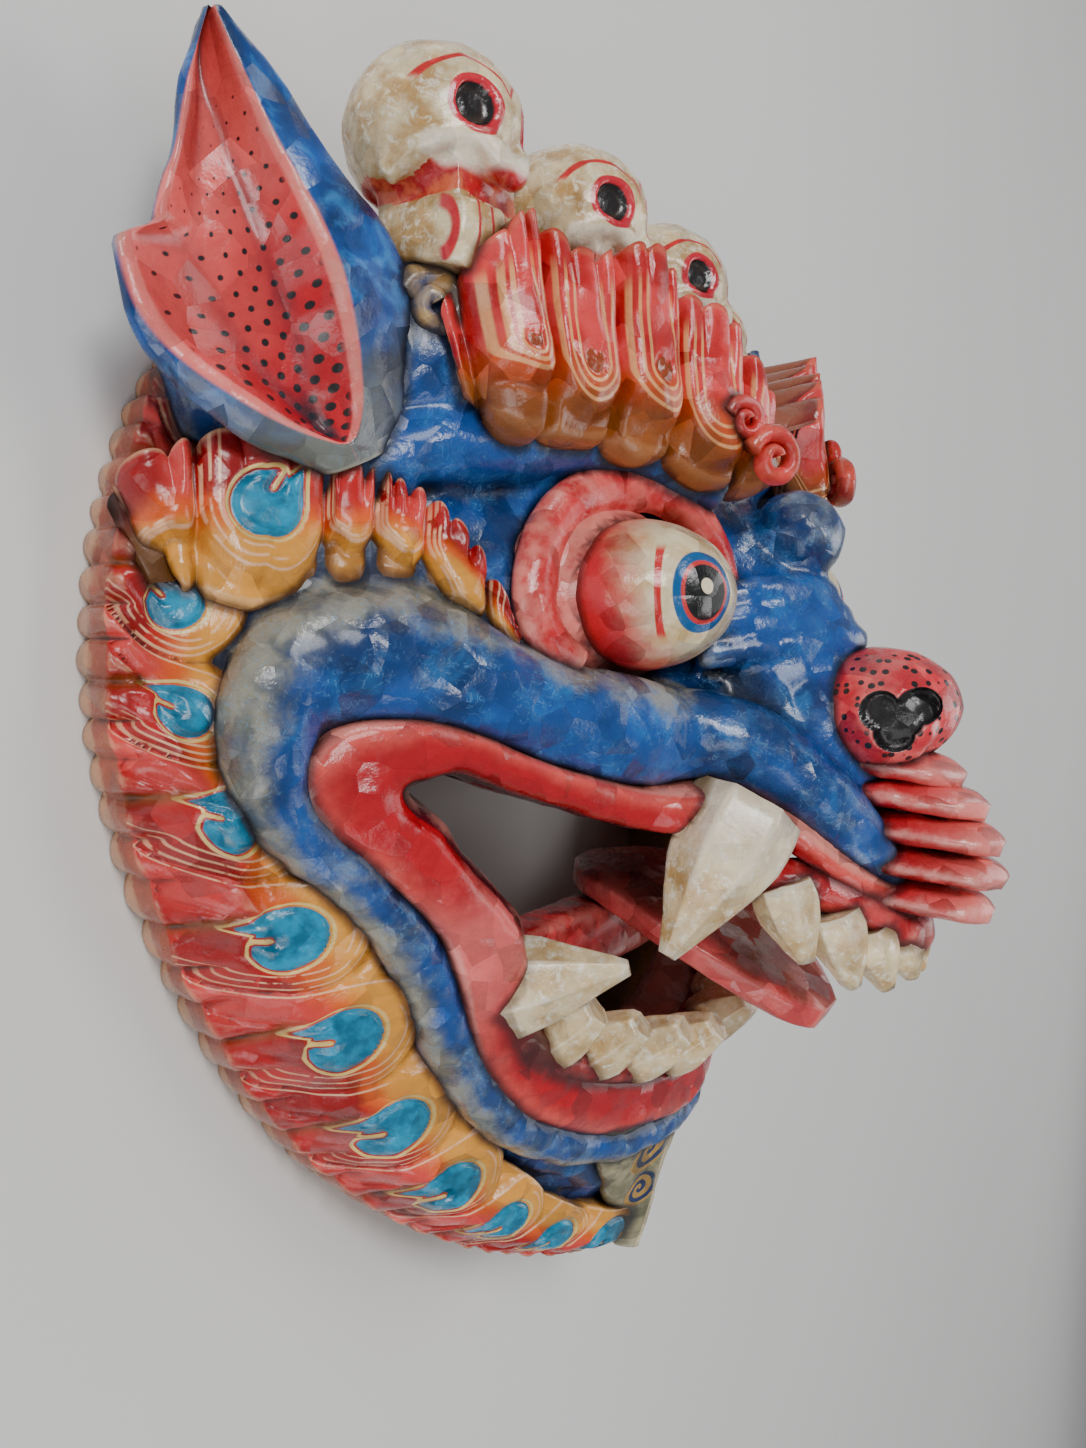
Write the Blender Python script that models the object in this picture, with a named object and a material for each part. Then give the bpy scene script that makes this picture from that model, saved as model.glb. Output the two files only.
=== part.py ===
"""A carved and painted wooden dragon mask, lying on its back with its face up.

Places are given in millimetres: x to the side, y from the chin towards the crown, z out of the face.
Features are described on the near side, where x is negative, and mirrored to the far side.
The finished pieces stand in metres, with the origin under the middle of the mask.
"""

import math

import bmesh
import bpy
from mathutils import Matrix, Vector
from mathutils.geometry import intersect_line_line_2d

MM = 0.001

# Driving dimensions of the flame border, in millimetres
BORDER_HALF_WIDTH = 162.0
BORDER_WIDEST_Y = 185.0
BORDER_DROP = 183.0
BORDER_RISE = 121.0
BORDER_POWERS = (1.65, 2.3)
RIM_TOP = 9.0
BAND_INNER_TOP = 25.0
CROWN_PLATE_TOP = 7.0
CHIN_LIFT = 31.0
CHIN_LIFT_REACH = 120.0
FLAME_UNITS = 38
LOBES_PER_UNIT = 3
LOBE_DEPTH = 3.0
DISC_RADIUS = 6.6
CROWN_TOP_Y = 330.0

# Driving dimensions of the head, in millimetres
DOME_CENTRE_Y = 150.0
DOME_HALF_WIDTH = 143.0
DOME_WIDEST_Y = 183.0
DOME_DROP = 184.0
DOME_RISE = 118.0
DOME_POWERS = (1.85, 2.1)
HEAD_CROSS_POWER = 1.4
WALL = 12.0
HOLLOW_SIZE = 0.9
MOUTH_CENTRE = (0.0, 100.0)
JOINT_GAP = 1.5

# The head at heights above the chin: y, height on the middle line, half width, height at its edge
HEAD_SECTIONS = (
    (0, 42, 12, 38), (20, 49, 52, 30), (45, 56, 88, 24), (64, 62, 104, 22), (92, 76, 122, 22), (117, 88, 132, 23),
    (140, 93, 138, 25), (180, 96, 141, 26), (205, 93, 137, 26), (221, 87, 132, 24), (240, 78, 122, 20),
    (255, 68, 110, 16), (270, 52, 95, 12), (285, 30, 70, 10), (297, 12, 36, 8), (310, 6, 5, 6),
)

# Fineness of the carving
BODY_VOXEL = 2.0
BODY_TRIANGLES = 4300
SMALL_VOXEL = 1.2
SKULL_TRIANGLES = 320
EAR_TRIANGLES = 500
TONGUE_TRIANGLES = 300
TOOL_TRIANGLES = 360

SIDES = (-1, 1)
FRONT = Vector((0.0, 0.0, 1.0))
CROWNWARD = Vector((0.0, 1.0, 0.0))
MIDDLE_Y = (CROWN_TOP_Y - LOBE_DEPTH) / 2

# Rolls and bands as x, y, z, half width, half depth at each station
# The first runs from the snout round the corner of the mouth to the chin
FACE_ROLL = (
    (-48, 170, 76, 13, 13), (-61, 172, 73, 14, 12), (-79, 177, 63, 13, 12), (-93, 183, 55, 13, 12),
    (-106, 189, 46, 15, 12), (-118, 191, 38, 15, 12), (-128, 189, 32, 14, 12), (-134, 184, 29, 13, 11),
    (-137, 176, 28, 11, 11), (-138, 168, 28, 9, 10), (-135, 159, 29, 8, 9), (-129, 151, 32, 7, 9),
    (-122, 144, 36, 7, 8), (-115, 136, 38, 7, 8), (-109, 129, 40, 7, 8), (-103, 119, 41, 7, 8),
    (-97, 107, 41, 7, 8), (-89, 93, 41, 7, 8), (-78, 79, 42, 7, 8), (-65, 67, 44, 7, 8), (-40, 54, 49, 7, 8),
    (-15, 49, 55, 7, 8), (0, 49, 57, 7, 8),
)
SNOUT_ROLL = (
    (-54, 167, 70, 12, 12), (-44, 170, 82, 12, 12), (-35, 167, 94, 11, 12), (-26, 158, 104, 10, 11),
    (-17, 147, 114, 9, 10), (-10, 136, 121, 7, 8), (-5, 128, 125, 4, 5),
)
UPPER_LIP = (
    (-124, 160, 38, 9, 6), (-122, 166, 39, 10, 7), (-118, 171, 42, 10, 7), (-109, 172, 49, 10, 7),
    (-99, 168, 55, 9, 7), (-81, 160, 65, 8, 7), (-58, 152, 78, 8, 7), (-41, 151, 92, 8, 7),
    (-29, 144, 106, 8, 7), (-19, 132, 117, 8, 6), (-6, 122, 128, 7, 6), (0, 120, 129, 7, 6),
)
LOWER_LIP = (
    (-124, 160, 38, 9, 6), (-121, 154, 40, 10, 7), (-115, 150, 43, 10, 7), (-107, 142, 47, 10, 7),
    (-99, 133, 50, 10, 7), (-93, 124, 52, 10, 7), (-89, 115, 51, 9, 7), (-84, 102, 49, 9, 7),
    (-73, 88, 49, 10, 7), (-61, 78, 51, 10, 8), (-40, 66, 55, 11, 8), (-17, 62, 61, 11, 8), (0, 62, 63, 11, 8),
)
SOCKET_RIM = (
    (-75, 188, 66, 4, 5), (-81, 194, 62, 5, 5), (-83, 203, 60, 5, 6), (-78, 215, 59, 6, 6), (-68, 225, 60, 6, 6),
    (-54, 231, 64, 6, 6), (-40, 233, 70, 6, 6), (-30, 226, 77, 5, 6), (-26, 215, 82, 4, 5), (-28, 202, 85, 4, 5),
    (-32, 193, 85, 3, 4),
)
BROW_RIDGE = (
    (-112, 232, 30, 9, 9), (-100, 238, 42, 9, 9), (-84, 240, 50, 10, 9), (-62, 243, 58, 10, 10),
    (-42, 242, 68, 10, 10), (-24, 234, 80, 10, 10),
)
EAR_ROOT = (
    (-98, 230, 34, 14, 11), (-112, 236, 26, 17, 12), (-124, 243, 20, 17, 12), (-136, 246, 15, 14, 10),
    (-145, 244, 11, 9, 7),
)
UPPER_GUM = (
    (-46, 142, 86, 6, 5), (-33, 133, 98, 6, 5), (-25, 131, 108, 6, 5), (-15, 124, 121, 6, 5), (0, 115, 131, 6, 5),
)
LOWER_GUM = (
    (-84, 105, 46, 6, 7), (-76, 95, 48, 6, 7), (-63, 86, 50, 6, 7), (-47, 79, 54, 6, 7), (-23, 73, 60, 6, 7),
    (0, 73, 63, 6, 7),
)
FLAME_RUN = (
    (-132, 222, 20, 12, 7), (-122, 216, 31, 12, 8), (-112, 211, 39, 10, 8), (-103, 206, 46, 8, 7),
    (-96, 199, 53, 6, 6), (-90, 191, 58, 3, 4),
)
MUZZLE = (
    (0, 216, 66, 22, 22), (0, 205, 76, 24, 24), (0, 192, 84, 27, 26), (0, 176, 88, 30, 30), (0, 160, 90, 32, 34),
    (0, 146, 92, 32, 34), (0, 132, 96, 28, 30),
)
FLAME_BED = (
    (-106, 256, 34, 14, 12), (-86, 256, 44, 17, 15), (-60, 256, 54, 18, 16), (-36, 252, 62, 18, 18),
    (0, 244, 68, 16, 18),
)
CROWN_BAND = (
    (-124, 258, 26, 6, 8), (-97, 264, 42, 10, 18), (-48, 259, 50, 10, 20), (0, 254, 54, 10, 20),
)
BEARD = (
    (0, 58, 54, 40, 8), (0, 46, 50, 32, 8), (0, 32, 46, 22, 7), (0, 16, 43, 11, 6), (0, 3, 41, 4, 4),
)
CROWN_TONGUES = (
    ((-104, 284, 10, 11, 7), (-99, 304, 10, 10, 6), (-95, 320, 10, 6, 5), (-93, 329, 10, 2, 3)),
    ((-78, 292, 10, 11, 7), (-73, 308, 10, 9, 6), (-70, 320, 10, 6, 5), (-68, 328, 10, 2, 3)),
)

# Folds across the bridge of the nose
BRIDGE_FOLDS = (
    ((-36, 203, 78, 3, 3), (-22, 206, 92, 5, 5), (0, 205, 102, 6, 6)),
    ((-38, 196, 80, 3, 3), (-24, 199, 93, 5, 5), (0, 199, 106, 6, 6)),
    ((-38, 189, 82, 3, 3), (-24, 192, 95, 5, 5), (0, 193, 110, 6, 6)),
)

# Each brow flame as a rising tongue of carved wood, then the curl that ends the row
BROW_FLAMES = (
    ((-80, 238, 58, 8, 8), (-86, 247, 56, 14, 10), (-90, 258, 54, 15, 10), (-98, 269, 53, 11, 8), (-104, 277, 52, 4, 5)),
    ((-76, 250, 60, 8, 9), (-76, 262, 60, 9, 9), (-80, 273, 58, 8, 7), (-84, 280, 57, 4, 4)),
    ((-60, 236, 70, 7, 9), (-60, 247, 70, 11, 10), (-58, 260, 66, 11, 10), (-60, 272, 62, 8, 7), (-63, 281, 61, 3, 4)),
    ((-46, 232, 78, 7, 9), (-44, 243, 78, 10, 10), (-40, 256, 74, 10, 10), (-40, 268, 70, 7, 7), (-42, 276, 69, 3, 4)),
    ((-32, 228, 84, 6, 8), (-26, 233, 88, 8, 9), (-22, 241, 88, 9, 9), (-24, 250, 86, 8, 8), (-29, 256, 82, 5, 6)),
)

# Teeth as base, tip and base radius
UPPER_FANG = ((-42, 146, 94), (-60, 117, 84), 17)
LOWER_FANG = ((-78, 108, 46), (-64, 114, 76), 15)
UPPER_TEETH = (
    ((-33, 130, 104), (-33, 112, 111), 9), ((-23, 123, 114), (-21, 104, 120), 9),
    ((-14, 118, 121), (-13, 102, 127), 8), ((-5, 115, 127), (-4, 103, 131), 7),
)
LOWER_TEETH = (
    ((-60, 90, 52), (-57, 99, 64), 9), ((-45, 83, 57), (-43, 92, 70), 9), ((-30, 78, 62), (-28, 87, 76), 9),
    ((-14, 75, 66), (-13, 84, 80), 9),
)

# Scales under the nose as height, then reach out of the face
SCALES = ((160, 142), (152, 148), (143, 152), (134, 153), (125, 150))
SCALE_HALF_WIDTH = 15
SCALE_HALF_HEIGHT = 4.5
SCALE_ROOT = 110

# Round forms as centre and radii
EYE = ((-50, 205, 71), (25, 19, 24))
EYE_TILT = 26.0
FOREHEAD_BALL = ((0, 222, 96), (14, 13, 13))
NOSE = ((0, 176, 120), (20, 16, 21))
MUZZLE_CAVITY = ((0, 168, 62), (19, 28, 46))

# The tongue as x, y, z, half width, half thickness, and the ledge behind the lower teeth that it is glued to
TONGUE = (
    (0, 124, 34, 37, 4), (0, 121, 50, 37, 4.5), (0, 115, 66, 34, 5), (0, 107, 80, 29, 5), (0, 98, 93, 22, 5),
    (0, 91, 102, 13, 4.5), (0, 88, 107, 6, 3.5),
)
TONGUE_BED = ((-92, 110, 34, 9, 8), (-60, 109, 38, 9, 8), (0, 108, 42, 10, 8))

# The mouth opening seen from the front: its upper edge and its lower edge from the corner to the middle
MOUTH_TOP = ((-112, 166), (-104, 164), (-93, 159), (-81, 155), (-69, 150), (-55, 146), (-42, 142), (-25, 131), (0, 118))
MOUTH_BOTTOM = ((-106, 156), (-97, 142), (-87, 128), (-77, 112), (-66, 99), (-48, 90), (-25, 85), (0, 84))

# The ear as x, y, z, half width, half thickness at each station from its foot to its tip
EAR = (
    (-118, 232, 36, 8, 5), (-122, 240, 36, 18, 6), (-128, 250, 36, 25, 6), (-134, 262, 35, 28, 6),
    (-139, 274, 34, 25, 6), (-142, 287, 32, 17, 5), (-146, 300, 31, 10, 4), (-149, 311, 30, 2, 2),
)
EAR_FACING = Vector((-0.37, 0.1, 0.92)).normalized()
EAR_BOWL = ((-135, 264, 47), (18, 40, 11))

# Where each skull stands on the crown, from the near side to the far side
SKULL_SEATS = ((-97, 275, 44), (-48, 270, 51), (0, 265, 54), (48, 270, 37), (97, 275, 25))
CRANIUM = ((0, 29, -1), (20.5, 19, 21))
SKULL_JAW = ((0, 8, 3), (13, 8, 12))
SKULL_EYE = ((9, 29, 20), (6, 6.5, 7))


def blend(a, b, t):
    return a + (b - a) * t


def ease(t):
    """A smooth step from 0 to 1."""
    t = max(0.0, min(1.0, t))
    return t * t * (3 - 2 * t)


def smooth_path(stations, steps):
    """Stations, which are tuples of one length, joined by a smooth curve with this many steps between two."""
    last = len(stations) - 1
    path = []
    for i in range(last):
        near = (stations[max(i - 1, 0)], stations[i], stations[i + 1], stations[min(i + 2, last)])
        for step in range(steps):
            t = step / steps
            path.append(tuple(
                b + 0.5 * t * (c - a + t * (2 * a - 5 * b + 4 * c - d + t * (3 * b - a - 3 * c + d)))
                for a, b, c, d in zip(*near)
            ))
    path.append(tuple(float(value) for value in stations[last]))
    return path


def on_side(stations, side):
    """The near side's stations, mirrored when side is 1."""
    return [(-side * station[0],) + tuple(station[1:]) for station in stations]


def across(stations):
    """A near half that ends on the middle plane, with its mirror joined on."""
    return list(stations) + [(-station[0],) + tuple(station[1:]) for station in reversed(stations[:-1])]


def face_outwards(bm, verts):
    """Turns the faces of one closed form outwards, judged by the volume that they hold."""
    faces = list({face for vert in verts if vert.is_valid for face in vert.link_faces})
    bmesh.ops.recalc_face_normals(bm, faces=faces)
    bm.normal_update()
    volume = sum(face.normal.dot(face.calc_center_median()) * face.calc_area() for face in faces)
    if volume < 0.0:
        bmesh.ops.reverse_faces(bm, faces=faces)


def shaped_ball(bm, around, along, position):
    """A closed form: position(t, angle) gives its points from pole to pole, with t from 0 to 1."""
    made = bmesh.ops.create_uvsphere(bm, u_segments=around, v_segments=along, radius=1.0)
    for vert in made["verts"]:
        t = math.acos(max(-1.0, min(1.0, vert.co.z))) / math.pi
        vert.co = position(t, math.atan2(vert.co.y, vert.co.x))
    face_outwards(bm, made["verts"])


def section_frames(path, facing=FRONT):
    """For each point of a path: its centre, its direction to the side and its direction out of the face."""
    frames = []
    for i, station in enumerate(path):
        ahead = Vector(path[min(i + 1, len(path) - 1)][:3]) - Vector(path[max(i - 1, 0)][:3])
        ahead.normalize()
        out = facing - ahead * facing.dot(ahead)
        out.normalize()
        frames.append((Vector(station[:3]), ahead.cross(out), out))
    return frames


def sweep(bm, stations, sides=12, steps=3, section=None, facing=FRONT):
    """A closed roll strung on a smooth path: half widths lie across it and half depths out of the face."""
    path = smooth_path(stations, steps)
    frames = section_frames(path, facing)
    rings = len(path)
    section = section or (lambda angle: (math.cos(angle), math.sin(angle)))

    def position(t, angle):
        ring = round(t * (rings + 1)) - 1
        if ring < 0 or ring >= rings:
            return frames[max(0, min(rings - 1, ring))][0]
        centre, side, out = frames[ring]
        across_part, out_part = section(angle)
        return centre + side * (path[ring][3] * across_part) + out * (path[ring][4] * out_part)

    shaped_ball(bm, sides, rings + 1, position)


def squared(angle):
    """A section between an oval and a square, for planks."""
    return (
        math.copysign(abs(math.cos(angle)) ** 0.4, math.cos(angle)),
        math.copysign(abs(math.sin(angle)) ** 0.4, math.sin(angle)),
    )


def ellipsoid(bm, centre, radii, turn=0.0, around=16):
    """An ellipsoid, turned in degrees about the y axis."""
    matrix = Matrix.Translation(centre) @ Matrix.Rotation(math.radians(turn), 4, "Y") @ Matrix.Diagonal(radii).to_4x4()
    bmesh.ops.create_uvsphere(bm, u_segments=around, v_segments=around // 2, radius=1.0, matrix=matrix)


def block(bm, centre, half_size):
    matrix = Matrix.Translation(centre) @ Matrix.Diagonal(half_size).to_4x4()
    bmesh.ops.create_cube(bm, size=2.0, matrix=matrix)


def tooth(bm, base, tip, radius, sides=6):
    """A chiselled pyramid, rooted behind its base and a little blunt at its tip."""
    axis = Vector(tip) - Vector(base)
    turn = FRONT.rotation_difference(axis).to_matrix().to_4x4()
    middle = Matrix.Translation(Vector(base) + axis * 0.4)
    bmesh.ops.create_cone(
        bm, cap_ends=True, segments=sides, radius1=radius, radius2=radius * 0.12, depth=axis.length * 1.2,
        matrix=middle @ turn,
    )


def superellipse(angle, half_width, widest_y, drop, rise, powers):
    """A point of an outline that starts at the chin, where the angle is 0. A power of 2 gives an ellipse."""
    sine = math.sin(angle)
    cosine = math.cos(angle)
    power = powers[0] if cosine > 0 else powers[1]
    reach = drop if cosine > 0 else rise
    x = half_width * math.copysign(abs(sine) ** (2 / power), sine)
    y = widest_y - reach * math.copysign(abs(cosine) ** (2 / power), cosine)
    return Vector((x, y))


def border_outline(angle):
    return superellipse(angle, BORDER_HALF_WIDTH, BORDER_WIDEST_Y, BORDER_DROP, BORDER_RISE, BORDER_POWERS)


def dome_outline(angle):
    return superellipse(angle, DOME_HALF_WIDTH, DOME_WIDEST_Y, DOME_DROP, DOME_RISE, DOME_POWERS)


def even_outline(outline, count, samples=2880):
    """Points at equal steps along an outline, each with its inward direction."""
    ring = [outline(math.tau * i / samples) for i in range(samples + 1)]
    lengths = [0.0]
    for a, b in zip(ring, ring[1:]):
        lengths.append(lengths[-1] + (b - a).length)
    points = []
    at = 0
    for i in range(count):
        wanted = lengths[-1] * i / count
        while lengths[at + 1] < wanted:
            at += 1
        points.append(ring[at].lerp(ring[at + 1], (wanted - lengths[at]) / (lengths[at + 1] - lengths[at])))
    stations = []
    for i, point in enumerate(points):
        along = (points[(i + 1) % count] - points[i - 1]).normalized()
        stations.append((point, Vector((-along.y, along.x))))
    return stations


def band_width(y):
    """The flame band is widest at the corner of the jaw, and narrows to the chin."""
    return 25.0 + 9.0 * math.exp(-((y - 105.0) / 38.0) ** 2) - 9.0 * math.exp(-(y / 28.0) ** 2)


def chin_lift(point):
    """How far the border stands forward of the wall behind it, most of all at the chin."""
    if point.y > BORDER_WIDEST_Y:
        return 0.0
    return CHIN_LIFT * max(0.0, 1.0 - abs(point.x) / CHIN_LIFT_REACH) ** 1.4


def border_section(point, lobe):
    """The border's section at one place, as distance inwards and height, from the back edge round to the back."""
    crown = ease((point.y - BORDER_WIDEST_Y - 30.0) / 50.0)
    width = band_width(point.y)
    inside = width + 4.0 + 30.0 * crown
    lift = chin_lift(point)
    rim = blend(RIM_TOP, CROWN_PLATE_TOP, crown) + lift
    top = blend(BAND_INNER_TOP, CROWN_PLATE_TOP, crown) + lift * 0.75
    return (
        (2.0 + lift, 0.0), (-lobe, rim - RIM_TOP * 0.6), (-lobe + 0.5, rim), (2.5 - 0.5 * lobe, blend(rim, top, 0.2)),
        (width * 0.5, blend(rim, top, 0.75)), (inside, top), (inside + lift, 0.0),
    )


def flame_border(bm):
    """A closed ring of flames: lobed outside, rising inwards to the head, with a disc in each flame."""
    steps = 9
    count = FLAME_UNITS * steps
    sections = []
    for step, (point, inward) in enumerate(even_outline(border_outline, count)):
        lobe = LOBE_DEPTH * abs(math.sin(math.pi * LOBES_PER_UNIT * step / steps)) ** 0.7
        corners = border_section(point, lobe)
        sections.append([(*(point + inward * depth), height) for depth, height in corners])
        if step % steps == steps // 2 and point.y < BORDER_WIDEST_Y + 30.0:
            disc = point + inward * (band_width(point.y) * 0.52)
            ellipsoid(bm, (disc.x, disc.y, corners[4][1] - 2.0), (DISC_RADIUS, DISC_RADIUS, 4.5), around=12)
    rows = len(sections[0])
    made = bmesh.ops.create_grid(bm, x_segments=count, y_segments=rows, size=1.0)
    for vert in made["verts"]:
        step = round((vert.co.x + 1) / 2 * count) % count
        row = round((vert.co.y + 1) / 2 * rows) % rows
        vert.co = sections[step][row]
    bmesh.ops.remove_doubles(bm, verts=made["verts"], dist=1e-3)
    face_outwards(bm, made["verts"])


def head_height(x, y):
    """The head's height above its back, before the features are carved on it."""
    rows = HEAD_SECTIONS
    y = max(rows[0][0], min(rows[-1][0], y))
    above = next(i for i in range(1, len(rows)) if y <= rows[i][0])
    low, high = rows[above - 1], rows[above]
    t = (y - low[0]) / (high[0] - low[0])
    middle, half_width, edge = (blend(a, b, t) for a, b in zip(low[1:], high[1:]))
    return blend(edge, middle, 1.0 - min(1.0, abs(x) / half_width) ** HEAD_CROSS_POWER)


def dome(bm, size=1.0, sink=0.0, bottom=0.0, around=72, along=24):
    """The rounded head: a lens on a flat back. Made smaller and sunk, it is the hollow behind the head."""
    centre = Vector((0.0, DOME_CENTRE_Y))

    def position(t, angle):
        reach = 1.0 - abs(1.0 - 2.0 * t)
        spot = centre + (dome_outline(angle) - centre) * (reach * size)
        height = max(bottom + 1.0, head_height(spot.x / size, spot.y) - sink) if t <= 0.5 else bottom
        return Vector((spot.x, spot.y, height))

    shaped_ball(bm, around, along, position)


def outline_point(outline, angle):
    """Where a line from inside an outline, at an angle, meets it."""
    middle = Vector(MOUTH_CENTRE)
    ray = middle + Vector((math.cos(angle), math.sin(angle))) * 1000.0
    for a, b in zip(outline, outline[1:] + outline[:1]):
        met = intersect_line_line_2d(middle, ray, Vector(a), Vector(b))
        if met:
            return met
    return middle


def mouth_cutter(bm):
    """Cuts the mouth through the head's wall: it follows the wall a little in front and a little behind."""
    outline = across(MOUTH_TOP) + list(reversed(across(MOUTH_BOTTOM)))

    def position(t, angle):
        reach = 1.0 - abs(1.0 - 2.0 * t)
        spot = Vector(MOUTH_CENTRE).lerp(outline_point(outline, angle), reach)
        height = head_height(spot.x, spot.y)
        return Vector((spot.x, spot.y, height + 12.0 if t <= 0.5 else max(-6.0, height - 60.0)))

    shaped_ball(bm, 64, 12, position)


def scales(bm):
    """The stack of pointed scales between the nose and the upper teeth."""
    for y, reach in SCALES:
        middle = (SCALE_ROOT + reach) / 2
        stations = (
            (0, y + 2, SCALE_ROOT, SCALE_HALF_WIDTH, SCALE_HALF_HEIGHT),
            (0, y + 1, middle, SCALE_HALF_WIDTH, SCALE_HALF_HEIGHT),
            (0, y - 1, reach - 5, SCALE_HALF_WIDTH * 0.7, SCALE_HALF_HEIGHT),
            (0, y - 3, reach, SCALE_HALF_WIDTH * 0.15, SCALE_HALF_HEIGHT * 0.5),
        )
        sweep(bm, stations, steps=2, facing=CROWNWARD)


def head_forms(bm):
    """The head before its mouth is opened and its back is hollowed."""
    dome(bm)
    flame_border(bm)
    rolls = (SNOUT_ROLL, SOCKET_RIM, BROW_RIDGE, FLAME_RUN, EAR_ROOT, *BROW_FLAMES, *CROWN_TONGUES)
    for side in SIDES:
        for roll in rolls:
            sweep(bm, on_side(roll, side))
        centre, radii = EYE
        ellipsoid(bm, *on_side((centre,), side), radii, turn=side * EYE_TILT, around=24)
    for band in (FACE_ROLL, UPPER_LIP, LOWER_LIP, FLAME_BED, CROWN_BAND, *BRIDGE_FOLDS):
        sweep(bm, across(band))
    sweep(bm, MUZZLE, sides=20)
    sweep(bm, BEARD, sides=16)
    scales(bm)
    for centre, radii in (FOREHEAD_BALL, NOSE):
        ellipsoid(bm, centre, radii)


def mouth_forms(bm):
    """What stands in the open mouth: gums, teeth, fangs and the ledge for the tongue."""
    for side in SIDES:
        for base, tip, radius in (UPPER_FANG, LOWER_FANG, *UPPER_TEETH, *LOWER_TEETH):
            tooth(bm, *on_side((base, tip), side), radius)
    for band in (UPPER_GUM, LOWER_GUM):
        sweep(bm, across(band))
    sweep(bm, across(TONGUE_BED), section=squared)


def make_object(name, bm, material=None):
    mesh = bpy.data.meshes.new(name)
    bm.to_mesh(mesh)
    bm.free()
    obj = bpy.data.objects.new(name, mesh)
    bpy.context.scene.collection.objects.link(obj)
    if material:
        mesh.materials.append(material)
    return obj


def cutter(name, bm):
    obj = make_object(name, bm)
    obj.hide_render = True
    obj.display_type = "WIRE"
    return obj


def finished_mesh(obj):
    """Replaces an object's mesh by the one that its modifiers give."""
    graph = bpy.context.evaluated_depsgraph_get()
    mesh = bpy.data.meshes.new_from_object(obj.evaluated_get(graph))
    obj.modifiers.clear()
    obj.data = mesh


def carve_as_one(obj, voxel, triangles=None):
    """Merges closed forms into one skin, eases its steps, and leaves it the triangles it may have."""
    remesh = obj.modifiers.new("One block", "REMESH")
    remesh.mode = "VOXEL"
    remesh.voxel_size = voxel
    if triangles:
        ease_steps = obj.modifiers.new("Eased", "SMOOTH")
        ease_steps.iterations = 2
    finished_mesh(obj)
    if triangles:
        count = sum(len(face.vertices) - 2 for face in obj.data.polygons)
        thin = obj.modifiers.new("Facets", "DECIMATE")
        thin.ratio = triangles / count
        finished_mesh(obj)


def cut(obj, *cutters):
    """Cuts the tools out of an object, and removes them."""
    for tool in cutters:
        boolean = obj.modifiers.new(tool.name, "BOOLEAN")
        boolean.object = tool
        boolean.operation = "DIFFERENCE"
    finished_mesh(obj)
    for tool in cutters:
        bpy.data.objects.remove(tool)


def keep_largest(obj):
    """Removes loose chips that cutting leaves beside the piece."""
    bm = bmesh.new()
    bm.from_mesh(obj.data)
    bmesh.ops.triangulate(bm, faces=bm.faces)
    bmesh.ops.remove_doubles(bm, verts=bm.verts, dist=0.01)
    bmesh.ops.dissolve_degenerate(bm, edges=bm.edges, dist=0.005)
    waiting = set(bm.verts)
    islands = []
    while waiting:
        island = set()
        edge_of_island = [waiting.pop()]
        while edge_of_island:
            vert = edge_of_island.pop()
            island.add(vert)
            for edge in vert.link_edges:
                other = edge.other_vert(vert)
                if other in waiting:
                    waiting.remove(other)
                    edge_of_island.append(other)
        islands.append(island)
    islands.sort(key=len)
    loose = [vert for island in islands[:-1] for vert in island]
    bmesh.ops.delete(bm, geom=loose, context="VERTS")
    bm.to_mesh(obj.data)
    bm.free()


def to_place(obj):
    """From millimetres measured at the chin to metres measured at the middle of the back."""
    obj.data.transform(Matrix.Scale(MM, 4) @ Matrix.Translation((0.0, -MIDDLE_Y, 0.0)))


def material(name, colour, roughness):
    made = bpy.data.materials.new(name)
    made.use_nodes = True
    shader = made.node_tree.nodes["Principled BSDF"]
    shader.inputs["Base Color"].default_value = (*colour, 1.0)
    shader.inputs["Roughness"].default_value = roughness
    shader.inputs["Metallic"].default_value = 0.0
    return made


def grown(stations, gap):
    """A sweep's stations, made larger by a gap all round and at both ends."""
    rows = [list(station[:3]) + [station[3] + gap, station[4] + gap] for station in stations]
    for end, neighbour in ((0, 1), (-1, -2)):
        away = Vector(rows[end][:3]) - Vector(rows[neighbour][:3])
        rows[end][:3] = Vector(rows[end][:3]) + away.normalized() * gap * 2
    return [tuple(row) for row in rows]


def ear_forms(side, gap=0.0):
    """The ear's shell as an unfinished form. With a gap, it is the tool that lets the ear in."""
    bm = bmesh.new()
    facing = Vector((-side * EAR_FACING.x, EAR_FACING.y, EAR_FACING.z))
    sweep(bm, grown(on_side(EAR, side), gap), sides=20, steps=4, facing=facing)
    return bm


def ear(name, side, wood):
    """The ear's shell with its bowl carved out."""
    obj = make_object(name, ear_forms(side), wood)
    carve_as_one(obj, SMALL_VOXEL)
    bm = bmesh.new()
    centre, radii = EAR_BOWL
    turn = math.degrees(math.asin(EAR_FACING.x)) * -side
    ellipsoid(bm, *on_side((centre,), side), radii, turn=turn, around=20)
    cut(obj, cutter(name + "_bowl", bm))
    carve_as_one(obj, SMALL_VOXEL, EAR_TRIANGLES)
    return obj


def skull_forms(seat, gap=0.0):
    """A cranium over a jaw block. With a gap, it is the tool that clears the skull's place."""
    bm = bmesh.new()
    for centre, radii in (CRANIUM, SKULL_JAW):
        place = Vector(seat) + Vector(centre)
        size = Vector(radii) + Vector((gap, gap, gap))
        if radii == SKULL_JAW[1]:
            block(bm, place, size)
        else:
            ellipsoid(bm, place, size, around=24)
    return bm


def skull(name, seat, wood):
    obj = make_object(name, skull_forms(seat), wood)
    carve_as_one(obj, SMALL_VOXEL, SKULL_TRIANGLES)
    bm = bmesh.new()
    centre, radii = SKULL_EYE
    for side in SIDES:
        place = Vector(seat) + Vector((side * centre[0], centre[1], centre[2]))
        ellipsoid(bm, place, radii, around=12)
    cut(obj, cutter(name + "_eyes", bm))
    return obj


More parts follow.
